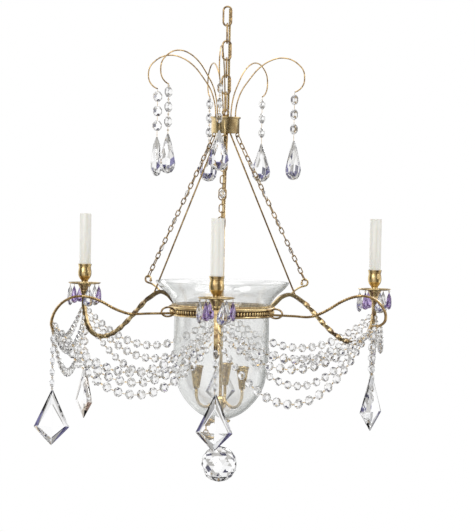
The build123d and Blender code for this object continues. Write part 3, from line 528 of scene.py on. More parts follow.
class Shape:
    """A mesh in the making, and the pieces that come of it."""

    def __init__(self) -> None:
        """Starts an empty mesh."""
        self.bm = bmesh.new()

    def stamp(self, mesh: bpy.types.Mesh, matrix: Matrix) -> None:
        """Adds a copy of a mesh at a place."""
        copy = mesh.copy()
        copy.transform(matrix)
        self.bm.from_mesh(copy)
        bpy.data.meshes.remove(copy)

    def lathe(self, profile: Sequence[Point], centre: Vector, steps: int = 48) -> None:
        """Turns a closed outline of (radius, height) in metres round an upright axis.

        Args:
            profile: the outline, in order.
            centre: where the axis meets height nought.
            steps: how many faces go round.
        """
        verts = [self.bm.verts.new((r, 0, z)) for r, z in profile]
        edges = [self.bm.edges.new((a, b)) for a, b in zip(verts, verts[1:] + verts[:1])
                 if a.co.x > 1e-6 or b.co.x > 1e-6]
        made = bmesh.ops.spin(
            self.bm, geom=verts + edges, cent=(0, 0, 0), axis=(0, 0, 1), angle=2 * math.pi,
            steps=steps, use_merge=True, use_duplicate=False,
        )
        fresh = [v for v in made["geom_last"] if isinstance(v, bmesh.types.BMVert)]
        turned = self._connected([*fresh, *verts])
        bmesh.ops.remove_doubles(self.bm, verts=turned, dist=1e-6)
        turned = [v for v in turned if v.is_valid]
        bmesh.ops.translate(self.bm, vec=centre, verts=turned)

    def _connected(self, start: Iterable[bmesh.types.BMVert]) -> list[bmesh.types.BMVert]:
        """Every vertex that edges join to some start."""
        seen = dict.fromkeys(start)
        todo = list(seen)
        while todo:
            for edge in todo.pop().link_edges:
                for vert in edge.verts:
                    if vert not in seen:
                        seen[vert] = None
                        todo.append(vert)
        return list(seen)

    def bar(
        self,
        places: Sequence[Vector],
        plane: Matrix,
        width: float,
        squareness: float = 0.0,
        twist: Callable[[Vector], float] | None = None,
        sides: int = 12,
    ) -> None:
        """Sweeps a round or square bar along a curve of a plane.

        Args:
            places: the curve, in the plane.
            plane: the plane's place.
            width: across the bar's flats.
            squareness: 0 for round and 1 for square with eased corners.
            twist: the bar's turn about its own line at a place, in radians.
            sides: how many vertices go round.
        """
        made = bmesh.ops.create_circle(self.bm, cap_ends=True, segments=sides, radius=width / 2)
        ring = made["verts"]
        for vert in ring:
            along, across = abs(vert.co.x), abs(vert.co.y)
            reach = max(along, across) / (width / 2)
            vert.co *= 1 + squareness * (min(1 / reach, 1.36) - 1)
        previous = Matrix.Identity(4)
        edges = list(dict.fromkeys(e for v in ring for e in v.link_edges))
        for number, place in enumerate(places):
            before = places[max(number - 1, 0)]
            after = places[min(number + 1, len(places) - 1)]
            way = (after - before).normalized()
            frame = Matrix(((0, -way.y, way.x), (0, way.x, way.y), (1, 0, 0))).to_4x4()
            frame.translation = (place.x, place.y, 0)
            turn = Matrix.Rotation(twist(place) if twist else 0.0, 4, "Z")
            here = plane @ frame @ turn
            if number:
                made = bmesh.ops.extrude_edge_only(self.bm, edges=edges)
                ring = [v for v in made["geom"] if isinstance(v, bmesh.types.BMVert)]
                edges = [e for e in made["geom"] if isinstance(e, bmesh.types.BMEdge)
                         and all(v in ring for v in e.verts)]
            bmesh.ops.transform(self.bm, matrix=here @ previous.inverted(), verts=ring)
            previous = here
        bmesh.ops.contextual_create(self.bm, geom=edges)

    def beaded(self, mesh: bpy.types.Mesh, radius: float, height: float, count: int) -> None:
        """Stamps a bead all round a circle about the stem."""
        for number in range(count):
            azimuth = 360 * number / count
            turn = Matrix.Rotation(math.radians(azimuth), 4, "Z")
            self.stamp(mesh, Matrix.Translation(spot(azimuth, radius, height)) @ turn)

    def piece(
        self,
        name: str,
        finish: Finish,
        body: str,
        replaced: Sequence[str] = (),
        shading: Shading = Shading.ROUNDED,
        tidy: bool = True,
    ) -> bpy.types.Object:
        """Closes the mesh into a piece of the object.

        Args:
            name: the piece's name.
            finish: what it is finished in.
            body: the CAD body that it rides on.
            replaced: the CAD nodes that it stands for.
            shading: how its faces are shaded.
            tidy: whether its normals are worked out again.

        Returns:
            The new object.
        """
        if tidy:
            bmesh.ops.recalc_face_normals(self.bm, faces=self.bm.faces)
        mesh = bpy.data.meshes.new(name)
        self.bm.to_mesh(mesh)
        self.bm.free()
        if shading is Shading.FACETED:
            mesh.shade_flat()
        else:
            mesh.shade_smooth()
            mesh.set_sharp_from_angle(angle=math.radians(shading.value))
        made = bpy.data.objects.new(name, mesh)
        bpy.context.scene.collection.objects.link(made)
        mesh.materials.append(finish.material())
        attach(made, body)
        if replaced:
            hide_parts(*replaced)
        log.info("%s: %d faces on %s", name, len(mesh.polygons), body)
        return made


# --- What the frame holds ---


@dataclass
class Solid:
    """One solid of a CAD node, with its own axes."""

    places: np.ndarray
    centre: Vector = field(init=False)
    axes: list[Vector] = field(init=False)
    extents: list[float] = field(init=False)

    def __post_init__(self) -> None:
        """Finds the solid's axes, longest first, and its size along each."""
        middle = self.places.mean(0)
        _, vectors = np.linalg.eigh(np.cov((self.places - middle).T))
        self.axes = [Vector(vectors[:, k]) for k in (2, 1, 0)]
        spans = [self.places @ np.array(axis) for axis in self.axes]
        long, wide, _ = (float(span.max() - span.min()) for span in spans)
        if long < DROP_RATIO * wide:
            self._square_up(middle)
        if self.axes[0].z > 0:
            self.axes[0] = -self.axes[0]
        self.axes[2] = self.axes[0].cross(self.axes[1])
        spans = [self.places @ np.array(axis) for axis in self.axes]
        self.extents = [float(span.max() - span.min()) for span in spans]
        self.centre = sum(
            (axis * float(span.max() + span.min()) / 2 for axis, span in zip(self.axes, spans)),
            Vector((0, 0, 0)),
        )

    def _square_up(self, middle: np.ndarray) -> None:
        """Turns a regular bead's axes onto its flats."""
        normal = self.axes[2]
        flat = self.places - middle
        flat = flat - np.outer(flat @ np.array(normal), np.array(normal))
        reach = np.linalg.norm(flat, axis=1)
        corner = Vector(flat[int(reach.argmax())]).normalized()
        self.axes[0] = Matrix.Rotation(math.radians(22.5), 3, normal) @ corner
        self.axes[1] = normal.cross(self.axes[0])

    def seat(self) -> Matrix:
        """The place that a unit stone takes: its y up the long axis and its z on the thin one."""
        long, wide, thin = self.extents
        x, y = self.axes[1], -self.axes[0]
        if x.x < 0:
            x = -x
        z = x.cross(y)
        matrix = Matrix((x * wide, y * long, z * thin)).transposed().to_4x4()
        matrix.translation = self.centre
        return matrix

    def box(self) -> tuple[Vector, Vector]:
        """The solid's lowest and highest corner."""
        return Vector(self.places.min(0)), Vector(self.places.max(0))


class Frame:
    """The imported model, read solid by solid."""

    def __init__(self) -> None:
        """Loads the frame."""
        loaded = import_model()
        self.nodes: dict[str, bpy.types.Object] = loaded["nodes"]
        self.cad_box = [list(corner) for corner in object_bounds()]

    def merged(self, node: str) -> bmesh.types.BMesh:
        """A node's mesh with its loose triangles joined."""
        bm = bmesh.new()
        bm.from_mesh(self.nodes[node].data)
        bmesh.ops.remove_doubles(bm, verts=bm.verts, dist=4e-6)
        return bm

    def solids(self, node: str) -> list[Solid]:
        """A node's solids, in the same order each run."""
        bm = self.merged(node)
        left = dict.fromkeys(bm.verts)
        found = []
        while left:
            group = [left.popitem()[0]]
            for vert in group:
                for edge in vert.link_edges:
                    other = edge.other_vert(vert)
                    if other in left:
                        del left[other]
                        group.append(other)
            found.append(Solid(np.array([v.co for v in group])))
        bm.free()
        return found

    def body(self, node: str) -> str:
        """The body that a node rides on."""
        return self.nodes[node]["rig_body"]

    def dress(self, node: str, finish: Finish) -> None:
        """Stands a smoothly shaded copy of a node in its place."""
        shape = Shape()
        shape.bm.free()
        shape.bm = self.merged(node)
        shape.piece(f"{node}_dressed", finish, self.body(node), [node], tidy=False)


# --- Cut stones ---


@dataclass(frozen=True)
class Cut:
    """A stone's cut: levels of corners whose hull has the facets. Unit wide, tall and thick."""

    name: str
    levels: tuple[tuple[float, tuple[Point, ...]], ...]
    # Spots (x, y, reach) whose facets carry a painted dark reflection, and how much painted grey
    # the steep facets carry.
    dark_reflection_spots: tuple[tuple[float, float, float], ...]
    tables_clear: float = 0.97
    rim_grey_reflection: float = 0.3

    def shade(self, face: bmesh.types.BMFace) -> float:
        """How much painted reflection a facet carries: none on a table, one (painted dark) near a
        spot (x, y, reach), less elsewhere: painted grey, more on steep facets and at random.
        """
        way, middle = face.normal, face.calc_center_median()
        if abs(way.z) > self.tables_clear:
            return 0.0
        if any(math.hypot(middle.x - x, middle.y - y) < reach for x, y, reach in self.dark_reflection_spots):
            return 1.0
        seed = math.sin(way.x * 12.99 + way.y * 78.23 + way.z * 37.72 + middle.y * 9.1) * 437.58
        chance = seed - math.floor(seed)
        return self.rim_grey_reflection * (1 - abs(way.z)) + chance * 0.45

    def mesh(self) -> bpy.types.Mesh:
        """The unit stone, made on its first use."""
        found = bpy.data.meshes.get(self.name)
        if found is None:
            bm = bmesh.new()
            for height, corners in self.levels:
                for side in (1, -1):
                    for x, y in corners:
                        bmesh.ops.create_vert(bm, co=(x, y, side * height))
            bmesh.ops.remove_doubles(bm, verts=bm.verts, dist=1e-5)
            bmesh.ops.convex_hull(bm, input=bm.verts)
            bmesh.ops.dissolve_limit(
                bm, angle_limit=math.radians(1.5), verts=bm.verts, edges=bm.edges
            )
            bmesh.ops.recalc_face_normals(bm, faces=bm.faces)
            # Each facet's share of painted reflection, kept in a face layer.
            layer = bm.faces.layers.float.new(FACET_REFLECTION)
            for face in bm.faces:
                face[layer] = self.shade(face)
            found = bpy.data.meshes.new(self.name)
            bm.to_mesh(found)
            bm.free()
        return found


def circle(count: int, radius: float, turn: float = 0.0) -> tuple[Point, ...]:
    """Corners evenly round a circle, turned by a share of their step."""
    steps = [2 * math.pi * (k + turn) / count for k in range(count)]
    return tuple((radius * math.cos(a), radius * math.sin(a)) for a in steps)


PEAR_SIDE = (
    (0.03, 0.5), (0.14, 0.33), (0.29, 0.13), (0.43, -0.08), (0.5, -0.24), (0.45, -0.37),
    (0.27, -0.47),
)
PEAR_RIM = (*PEAR_SIDE, (0.0, -0.5), *((-x, y) for x, y in reversed(PEAR_SIDE)))
KITE_RIM = ((0.02, 0.5), (0.5, -0.168), (0.0, -0.5), (-0.5, -0.168), (-0.02, 0.5))

OCTAGON_CUT = Cut(
    "octagon_cut",
    (
        (0.1, circle(8, 0.5 / math.cos(math.pi / 8), 0.5)),
        (0.5, circle(8, 0.28, 0.5)),
    ),
    dark_reflection_spots=((0.38, 0.16, 0.1),), rim_grey_reflection=0.4,
)
PEAR_CUT = Cut(
    "pear_cut",
    (
        (0.05, PEAR_RIM),
        (
            0.33,
            (
                (0.09, 0.3), (0.33, -0.14), (0.3, -0.34), (0.0, -0.43), (-0.3, -0.34),
                (-0.33, -0.14), (-0.09, 0.3),
            ),
        ),
        (0.5, ((0.0, 0.16), (0.16, -0.1), (0.13, -0.28), (-0.13, -0.28), (-0.16, -0.1))),
    ),
    dark_reflection_spots=((0.4, -0.16, 0.09), (0.0, -0.38, 0.05)),
)
KITE_CUT = Cut(
    "kite_cut",
    (
        (0.06, KITE_RIM),
        (0.38, ((0.0, 0.42), (0.37, -0.155), (-0.37, -0.155), (0.0, -0.36))),
        (0.5, ((0.0, -0.17), (0.0, 0.25))),
    ),
    dark_reflection_spots=((0.26, -0.3, 0.14),),
)


STONES: dict[str, Finish] = {
    "garland_": CLEAR_CRYSTAL, "crown_strand_": CLEAR_CRYSTAL, "chain_crystals": CLEAR_CRYSTAL,
    "clear_drops": CLEAR_CRYSTAL, "amethyst_drops": AMETHYST, "kite_left_arm": WARM_KITE,
    "kite_": KITE_CRYSTAL,
}


@dataclass
class Crystals:
    """The nodes of cut stones on brass pins."""

    frame: Frame
    pin_loop: float = 1.5 * MM
    pin_wire: float = 0.42 * MM
    pin_seat: float = 0.6 * MM
    widest_pin: float = 1.6 * MM
    looped_pin: float = 2.5 * MM
    shortest_kite: float = 90 * MM
    bead_pitch: float = 0.93

    def build(self) -> None:
        """Dresses every node of stones."""
        for node in self.frame.nodes:
            for start, finish in STONES.items():
                if node.startswith(start):
                    self.string(node, finish)
                    break
        self.ball()

    def loop_mesh(self) -> bpy.types.Mesh:
        """The small ring at the middle of each pin, made on its first use."""
        found = bpy.data.meshes.get("pin_loop")
        if found is None:
            shape = Shape()
            made = bmesh.ops.create_circle(shape.bm, segments=6, radius=self.pin_wire)
            bmesh.ops.rotate(shape.bm, verts=made["verts"], cent=(0, 0, 0),
                             matrix=Matrix.Rotation(math.pi / 2, 3, "X"))
            bmesh.ops.translate(shape.bm, verts=made["verts"], vec=(self.pin_loop, 0, 0))
            bmesh.ops.spin(shape.bm, geom=shape.bm.verts[:] + shape.bm.edges[:], cent=(0, 0, 0),
                           axis=(0, 0, 1), angle=2 * math.pi, steps=10, use_merge=True)
            bmesh.ops.remove_doubles(shape.bm, verts=shape.bm.verts, dist=1e-7)
            bmesh.ops.recalc_face_normals(shape.bm, faces=shape.bm.faces)
            found = bpy.data.meshes.new("pin_loop")
            shape.bm.to_mesh(found)
            shape.bm.free()
        return found

    def pin(self, shape: Shape, solid: Solid) -> None:
        """Adds a thin wire with a ring at its middle where a CAD pin stands, a little longer."""
        way, across = -solid.axes[0], solid.axes[1]
        long = solid.extents[0]
        frame = Matrix((across, way.cross(across), way)).transposed().to_4x4()
        frame.translation = solid.centre
        lower = Matrix.Translation((0, 0, -self.pin_seat / 2))
        bmesh.ops.create_cone(
            shape.bm, cap_ends=True, segments=6, radius1=self.pin_wire, radius2=self.pin_wire,
            depth=long + self.pin_seat, matrix=frame @ lower,
        )
        if long > self.looped_pin:
            tilt = Matrix.Rotation(math.pi / 2, 4, "X")
            shape.stamp(self.loop_mesh(), frame @ tilt)

    def string(self, node: str, finish: Finish) -> None:
        """Dresses one node: its pins in brass and its stones recut."""
        stones, pins = Shape(), Shape()
        for solid in self.frame.solids(node):
            long, wide, _ = solid.extents
            if wide < self.widest_pin:
                self.pin(pins, solid)
            elif node.startswith("garland_") and long > DROP_RATIO * wide:
                self.cluster(stones, solid)
            elif long < DROP_RATIO * wide or node == "chain_crystals":
                stones.stamp(OCTAGON_CUT.mesh(), solid.seat())
            elif long > self.shortest_kite:
                stones.stamp(KITE_CUT.mesh(), solid.seat())
            else:
                stones.stamp(PEAR_CUT.mesh(), solid.seat())
        body = self.frame.body(node)
        stones.piece(f"{node}_stones", finish, body, [node], Shading.FACETED)
        if len(pins.bm.verts):
            pins.piece(f"{node}_pins", PIN_BRASS, body)

    def cluster(self, shape: Shape, solid: Solid) -> None:
        """Sets beads side by side where the CAD beads of a crossing have grown together."""
        long, wide, _ = solid.extents
        count = max(2, round(long / (wide * self.bead_pitch)))
        size = min(wide, long / count)
        for number in range(count):
            seat = solid.seat() @ Matrix.Diagonal((size / wide, size / long, 1.0, 1.0))
            shift = (number - (count - 1) / 2) * (long - size) / max(count - 1, 1)
            seat.translation = solid.centre + solid.axes[0] * shift
            shape.stamp(OCTAGON_CUT.mesh(), seat)

    def ball(self) -> None:
        """The faceted ball under the bell."""
        low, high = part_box("crystal_ball")
        middle, radius = (low + high) / 2, (high.x - low.x) / 2
        shape = Shape()
        rows = [(0.0, 12, 0.5), (0.36, 12, 0.0), (0.68, 10, 0.5), (0.9, 6, 0.0)]
        for rise, count, turn in rows:
            reach = (1 - rise**2) ** 0.5
            for side in (1, -1):
                for x, y in circle(count, radius * reach, turn):
                    bmesh.ops.create_vert(shape.bm, co=(x, y, side * rise * radius))
        for side in (1, -1):
            bmesh.ops.create_vert(shape.bm, co=(0, 0, side * radius))
        bmesh.ops.remove_doubles(shape.bm, verts=shape.bm.verts, dist=1e-6)
        bmesh.ops.convex_hull(shape.bm, input=shape.bm.verts)
        bmesh.ops.dissolve_limit(shape.bm, angle_limit=math.radians(1), verts=shape.bm.verts,
                                 edges=shape.bm.edges)
        bmesh.ops.translate(shape.bm, verts=shape.bm.verts, vec=middle)
        shape.piece("ball_stone", KITE_CRYSTAL, "ball", ["crystal_ball"], Shading.FACETED)


# --- Metal and glass ---


@dataclass
class CandleArms:
    """The three arms: square bars, twisted where they swing down."""

    width: float = 7.0 * MM
    twist_from: float = 168 * MM
    twist_to: float = 286 * MM
    quarter_turns: float = 7.0
    route: tuple[Point, ...] = (
        (93, 3), (108, 14.5), (120, 25), (136, 30.2), (147.5, 27.5), (159.4, 20.5), (173, 11.5),
        (190, -4.9), (209.6, -24), (230, -41.5), (255.7, -56.5), (278, -60.5), (298, -52.5),
        (311, -33), (317, -8), (317, 9), (317, 27.5),
    )

    def turn(self, place: Vector) -> float:
        """The bar's twist at a place of its curve."""
        share = (place.x - self.twist_from) / (self.twist_to - self.twist_from)
        return min(max(share, 0.0), 1.0) * self.quarter_turns * math.pi / 2

    def build(self) -> None:
        """Builds the three arms."""
        places = eased(self.route, 2.2 * MM)
        for side, azimuth in ARM_AZIMUTHS.items():
            shape = Shape()
            shape.bar(places, spoke(azimuth, RING_HEIGHT), self.width, 1.0, self.turn, 8)
            shape.piece(f"arm_{side}_bar", BAR_BRASS, "fixture", [f"arm_{side}"])


@dataclass
class LowerFronds:
    """The three fronds that carry garlands, from eyelets on the ring."""

    width: float = 4.2 * MM
    twist_from: float = 185 * MM
    twist_to: float = 290 * MM
    quarter_turns: float = 22.0
    start: Point = (100.4, -2.1)
    level: tuple[Point, ...] = (
        (150, -2.1), (188.6, -2.1), (206, 2.5), (222.7, 9), (242.4, 19), (262.2, 26.5),
        (283, 29.8), (304, 27.6), (323, 17.5), (335.3, 3.1), (340.5, -10), (341.5, -19),
        (338, -28),
    )
    high: tuple[Point, ...] = (
        (150, -2.1), (180, -2.1), (200, 4), (220, 14), (242, 27), (264, 36),
        (285, 39.3), (305, 36), (320, 25), (329, 10), (328, -3), (318, -11), (303, -13),
    )

    def build(self) -> None:
        """Builds the three fronds and their rounded ends."""
        for side, azimuth in FROND_AZIMUTHS.items():
            route = self.high if side == "right" else self.level
            places = eased((self.start, *route), 1.6 * MM)
            peak = max(range(len(places)), key=lambda k: places[k].y)
            twisted = {id(p): p.x for p in places[:peak]}

            def turn(place: Vector) -> float:
                """The rod's twist, which is done by its highest place."""
                reach = twisted.get(id(place), self.twist_to)
                share = (reach - self.twist_from) / (self.twist_to - self.twist_from)
                return min(max(share, 0.0), 1.0) * self.quarter_turns * math.pi / 2

            shape = Shape()
            plane = spoke(azimuth, RING_HEIGHT)
            shape.bar(places, plane, self.width, 0.8, turn, 8)
            end = plane @ Vector((places[-1].x, places[-1].y, 0))
            bmesh.ops.create_icosphere(
                shape.bm, subdivisions=2, radius=self.width * 0.58, matrix=Matrix.Translation(end)
            )
            shape.piece(f"lower_frond_{side}_rod", WIRE_BRASS, "fixture", [f"lower_frond_{side}"])


@dataclass
class GalleryRing:
    """The ring that holds the bell: two brass beads, gadroons between over a channel of painted
    shade, a fluted gallery above.
    """

    steps: int = 128
    bead_count: int = 100
    bead_circle: float = 93.4 * MM
    bead: tuple[float, float, float] = (1.95, 2.5, 3.9)
    lower: tuple[Point, ...] = (
        (87.2, -8.5), (90.2, -8.5), (92.6, -8.3), (94.6, -7.4), (95.6, -6.0), (95.4, -4.6),
        (94.0, -4.0), (87.2, -4.0),
    )
    channel: tuple[Point, ...] = ((87.2, -4.1), (92.4, -4.1), (92.4, 4.1), (87.2, 4.1))
    upper: tuple[Point, ...] = (
        (87.2, 4.0), (94.0, 4.0), (96.2, 4.5), (97.5, 5.9), (97.6, 7.4), (96.6, 8.9), (94.6, 9.8),
        (93.2, 10.2), (92.6, 9.7), (88.6, 9.7), (87.2, 9.7),
    )
    gallery: tuple[Point, ...] = (
        (88.4, 9.8), (91.6, 9.8), (92.3, 10.6), (91.9, 12.2), (90.6, 12.8), (88.4, 12.8),
    )

    def build(self) -> None:
        """Builds the ring's bands and its gadroons."""
        # The channel is finished near black: painted shade behind the gadroons.
        parts = (
            ("lower", self.lower, SATIN_BRASS), ("channel", self.channel, RECESS_SHADE_BRASS),
            ("upper", self.upper, SATIN_BRASS), ("gallery", self.gallery, FLUTED_BRASS),
        )
        for name, profile, finish in parts:
            shape = Shape()
            outline = [(r * MM, z * MM) for r, z in profile]
            shape.lathe(outline, Vector((0, 0, RING_HEIGHT)), self.steps)
            replaced = ["gallery_ring"] if name == "channel" else []
            shape.piece(f"gallery_ring_{name}", finish, "fixture", replaced)
        gadroon = bmesh.new()
        bmesh.ops.create_icosphere(gadroon, subdivisions=2, radius=MM)
        bmesh.ops.scale(gadroon, verts=gadroon.verts, vec=self.bead)
        mesh = bpy.data.meshes.new("gadroon")
        gadroon.to_mesh(mesh)
        gadroon.free()
        shape = Shape()
        shape.beaded(mesh, self.bead_circle, RING_HEIGHT, self.bead_count)
        shape.piece("gallery_ring_gadroons", SATIN_BRASS, "fixture", (), Shading.SOFT)


@dataclass
class GlassBell:
    """The blown bell with its flared and rolled rim."""

    wall: float = 2.6 * MM
    hole: float = 4.3 * MM
    steps: int = 160
    outside: tuple[Point, ...] = (
        (121, 52.5), (116, 45.5), (108, 37.8), (100.6, 31.5), (94.5, 24.5), (90.2, 16.5),
        (87.6, 9), (86.5, -1), (86.5, -43), (86.5, -85.5), (84, -110.5), (78.5, -135.5),
        (67.8, -156.5), (46.6, -180), (30, -190.5), (13, -196.5),
    )

    def build(self) -> None:
        """Builds the bell as one smooth wall."""
        outer = eased((*self.outside, (4.4, -197.4)), 4 * MM)
        ways = [(b - a).normalized() for a, b in zip([outer[0], *outer], [*outer[1:], outer[-1]])]
        inner = [p + Vector((way.y, -way.x)) * self.wall for p, way in zip(outer, ways)]
        rim = (outer[0] + inner[0]) / 2 + Vector((0.7, 0.8)) * self.wall * 0.6
        outline = [rim, *outer, *reversed(inner)]
        shape = Shape()
        profile = [(max(p.x, self.hole), p.y) for p in outline]
        shape.lathe(profile, Vector((0, 0, RING_HEIGHT)), self.steps)
        shape.piece("glass_bell_wall", BELL_GLASS, "fixture", ["glass_bell"], Shading.SOFT)


@dataclass
class Turning:
    """Turned brass or ivory, one at each solid of its node."""

    node: str
    finish: Finish
    profile: tuple[Point, ...]
    steps: int = 40

    def build(self, frame: Frame) -> None:
        """Turns one copy at each solid of its node, its profile over the solid's foot."""
        shape = Shape()
        for solid in frame.solids(self.node):
            low, high = solid.box()
            centre = Vector(((low.x + high.x) / 2, (low.y + high.y) / 2, low.z))
            shape.lathe([(r * MM, z * MM) for r, z in self.profile], centre, self.steps)
        shape.piece(f"{self.node}_turned", self.finish, frame.body(self.node), [self.node])


SLEEVE_PROFILE = ((9.9, 0), (11, 0), (11, 98.5), (10.7, 99), (10.1, 99), (9.9, 98.6))
TURNINGS = (
    Turning(
        "candle_cups", CUP_BRASS,
        (
            (4.75, 0), (8, 0), (8.3, 0.6), (8, 1.4), (7, 2.2), (6.4, 3.2), (6.4, 5), (7.2, 6.6),
            (9.2, 9), (11.2, 12.2), (12.4, 15.6), (12.8, 19), (12.7, 22.4), (12.2, 26), (11.5, 29),
            (11.3, 30.6), (12.0, 31.2), (12.2, 32), (11.9, 32.8), (12.3, 34), (12.9, 35.6),
            (12.9, 37), (11.3, 37), (11.3, 34), (4.75, 34),
        ),
    ),
    Turning(
        "candle_collars", CUP_BRASS,
        (
            (4.75, 0), (6.5, 0), (7.0, 1), (6.4, 2), (7.2, 3.6), (7.8, 5), (7.4, 6.4), (8.4, 8.6),
            (9.4, 11), (11, 14), (12.6, 16.4), (13, 17.9), (4.75, 17.9),
        ),
    ),
    Turning(
        "bobeches", CUP_BRASS,
        (
            (4.75, 0), (16, 0), (24, 0.4), (28, 0.9), (30.4, 2.0), (31, 3), (30.4, 3.4), (29.8, 3),
            (27.6, 2.2), (24, 1.8), (16, 1.4), (9, 1.6), (4.75, 1.4),
        ),
        56,
    ),
    *(Turning(f"candle_sleeve_{side}", IVORY, SLEEVE_PROFILE) for side in ARM_AZIMUTHS),
    Turning(
        "inner_cups", STIPPLED_BRASS,
        (
            (0.0, 0), (5, 0), (5.6, 1.4), (11.2, 37.5), (12.2, 38.4), (12.4, 40), (12, 41),
            (10.4, 41), (4, 4), (0.0, 4),
        ),
        32,
    ),
)


DRESSED: dict[str, Finish] = {
    "top_link": CHAIN_BRASS, "suspension_links": CHAIN_BRASS, "supply_cord": SHEATH,
    "cord_tail": SHEATH, "crown_band": SATIN_BRASS, "crown_loop": CHAIN_BRASS,
    "crown_fronds": WIRE_BRASS,
    "support_chain_front": CHAIN_BRASS, "support_chain_right": CHAIN_BRASS,
    "support_chain_left": CHAIN_BRASS, "arm_wires": WIRE_BRASS, "stem": SATIN_BRASS,
    "bell_washer": SATIN_BRASS, "bell_cap": SATIN_BRASS, "chain_hooks": BAR_BRASS,
    "ring_eyelets": CHAIN_BRASS,
    "inner_hub": SATIN_BRASS, "inner_arms": SATIN_BRASS, "inner_sockets": SOCKET,
    "lamp_sockets": SOCKET, "ball_hook": CHAIN_BRASS,
}


# --- Studio ---


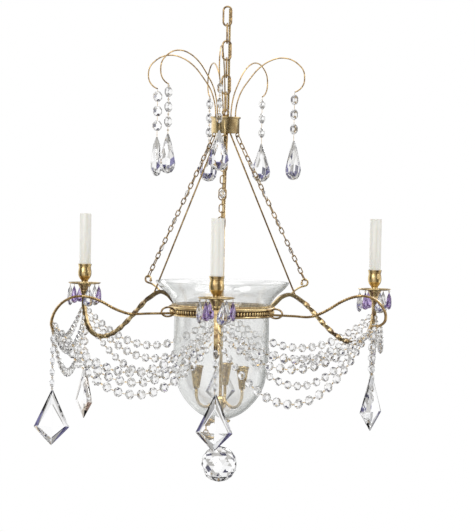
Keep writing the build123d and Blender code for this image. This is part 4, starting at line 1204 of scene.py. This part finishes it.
@dataclass
class Studio:
    """A white studio: camera, world, soft lights and a pale floor."""

    distance: float = 3.67
    camera_height: float = -0.3465
    pitch: float = -1.9
    yaw: float = 0.42
    roll: float = 1.1
    lens: float = 136.5
    floor_height: float = -2.4
    floor_low: Colour = (0.93, 0.93, 0.93)
    floor_high: Colour = (0.96, 0.96, 0.96)
    white: Colour = (1.0, 1.0, 1.0)
    navy: Colour = (0.03, 0.028, 0.08)
    slate: Colour = (0.46, 0.45, 0.43)
    dim: Colour = (0.52, 0.52, 0.53)

    def build(self) -> None:
        """Sets the studio up."""
        scene = bpy.context.scene
        scene.view_settings.view_transform = "Standard"
        scene.view_settings.look = "None"
        self.camera(scene)
        self.world(scene)
        self.lights(scene)
        self.floor(scene)

    def camera(self, scene: bpy.types.Scene) -> None:
        """The photograph's view: long lens, a little above the ring, rolled a degree."""
        data = bpy.data.cameras.new("camera")
        data.lens, data.sensor_width = self.lens, 36.0
        data.clip_start, data.clip_end = 0.1, 100.0
        camera = bpy.data.objects.new("camera", data)
        scene.collection.objects.link(camera)
        place = Matrix.Translation((0, -self.distance, self.camera_height))
        turn = (
            Matrix.Rotation(math.radians(-self.yaw), 4, "Z")
            @ Matrix.Rotation(math.radians(90 + self.pitch), 4, "X")
            @ Matrix.Rotation(math.radians(self.roll), 4, "Z")
        )
        camera.matrix_world = place @ turn
        scene.camera = camera

    def world(self, scene: bpy.types.Scene) -> None:
        """White to the eye; flags and windows for what glass and metal see."""
        world = bpy.data.worlds.new("studio")
        scene.world = world
        world.use_nodes = True
        graph = Graph(world.node_tree)
        way = graph.node("ShaderNodeTexCoord", output="Generated")
        x, y, z = graph.axes(way)
        azimuth = y.apply("ARCTAN2", x)
        paths = graph.node("ShaderNodeLightPath").socket.node.outputs
        camera_ray = Signal(graph, paths["Is Camera Ray"])
        glass_ray = Signal(graph, paths["Is Transmission Ray"])
        metal_ray = Signal(graph, paths["Is Glossy Ray"])

        ahead = (azimuth * 8.0).apply("COSINE").within(-0.55, 0.0)
        ahead = ahead * (1 - z.apply("ABSOLUTE").within(0.2, 0.3))
        patches = (azimuth * 13.0).apply("SINE") * (z * 17.0 + azimuth * 3.0).apply("SINE")
        strong = (azimuth * 7.0 + 1.0).apply("SINE") * (z * 9.0 + 0.5).apply("SINE")
        aside = strong.within(0.55, 0.6).blend(
            patches.within(-0.1, 0.2).blend(self.slate, self.white), self.navy
        )
        seen_in_glass = ahead.blend(aside, self.white)

        windows = (azimuth * 3.0 + 0.9).apply("SINE").within(-0.25, 0.35)
        sky = z.within(0.1, 0.9)
        low = z.within(-0.95, -0.3)
        glow = (windows * 1.3 + sky * 0.5 + 0.2) * (low * 0.6 + 0.4)
        seen_in_metal = graph.node("ShaderNodeCombineColor", {}, {0: glow, 1: glow, 2: glow})

        colour = camera_ray.blend(
            glass_ray.blend(metal_ray.blend(self.dim, seen_in_metal), seen_in_glass),
            self.white,
        )
        background = graph.node("ShaderNodeBackground", {}, {"Color": colour, "Strength": 1.0})
        graph.node("ShaderNodeOutputWorld", {}, {"Surface": background})

    def lights(self, scene: bpy.types.Scene) -> None:
        """Soft boxes: a key from the left, a fill from the right and one above."""
        boxes = (
            ("key", (-1.9, -2.3, 0.6), 1.3, 26.0),
            ("fill", (2.4, -1.2, 0.1), 0.9, 10.0),
            ("top", (0.0, 0.3, 1.5), 1.6, 18.0),
            ("rim", (1.2, 2.4, 0.4), 0.8, 10.0),
        )
        for name, place, size, power in boxes:
            data = bpy.data.lights.new(name, "AREA")
            data.shape, data.size, data.energy = "SQUARE", size, power
            light = bpy.data.objects.new(name, data)
            scene.collection.objects.link(light)
            aim = Vector((0, 0, -0.5)) - Vector(place)
            turn = aim.to_track_quat("-Z", "Y").to_matrix().to_4x4()
            light.matrix_world = Matrix.Translation(place) @ turn
            light.visible_camera = False
            light.visible_transmission = False

    def floor(self, scene: bpy.types.Scene) -> None:
        """A pale floor, far under the fixture."""
        bm = bmesh.new()
        bmesh.ops.create_circle(bm, cap_ends=True, segments=96, radius=6.0)
        bmesh.ops.translate(bm, verts=bm.verts, vec=(0, 0, self.floor_height))
        mesh = bpy.data.meshes.new("floor")
        bm.to_mesh(mesh)
        bm.free()
        floor = bpy.data.objects.new("floor", mesh)
        scene.collection.objects.link(floor)
        material = bpy.data.materials.new("floor_paint")
        material.use_nodes = True
        graph = Graph(material.node_tree)
        shader = graph.surface({
            "Base Color": graph.noise(1.5).within(0.0, 1.0).blend(self.floor_low, self.floor_high),
            "Roughness": 0.9,
            "Emission Color": (1.0, 1.0, 1.0),
            "Emission Strength": 0.35,
        })
        graph.node("ShaderNodeOutputMaterial", {}, {"Surface": shader})
        mesh.materials.append(material)
        floor.visible_transmission = False
        floor.visible_glossy = False
        floor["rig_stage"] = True


def main() -> None:
    """Builds the whole fixture over its frame."""
    logging.basicConfig(level=logging.INFO, format="%(name)s %(message)s")
    frame = Frame()
    for node, finish in DRESSED.items():
        frame.dress(node, finish)
    GlassBell().build()
    GalleryRing().build()
    CandleArms().build()
    LowerFronds().build()
    for turning in TURNINGS:
        turning.build(frame)
    Crystals(frame).build()
    Studio().build()


if __name__ == "__main__":
    main()
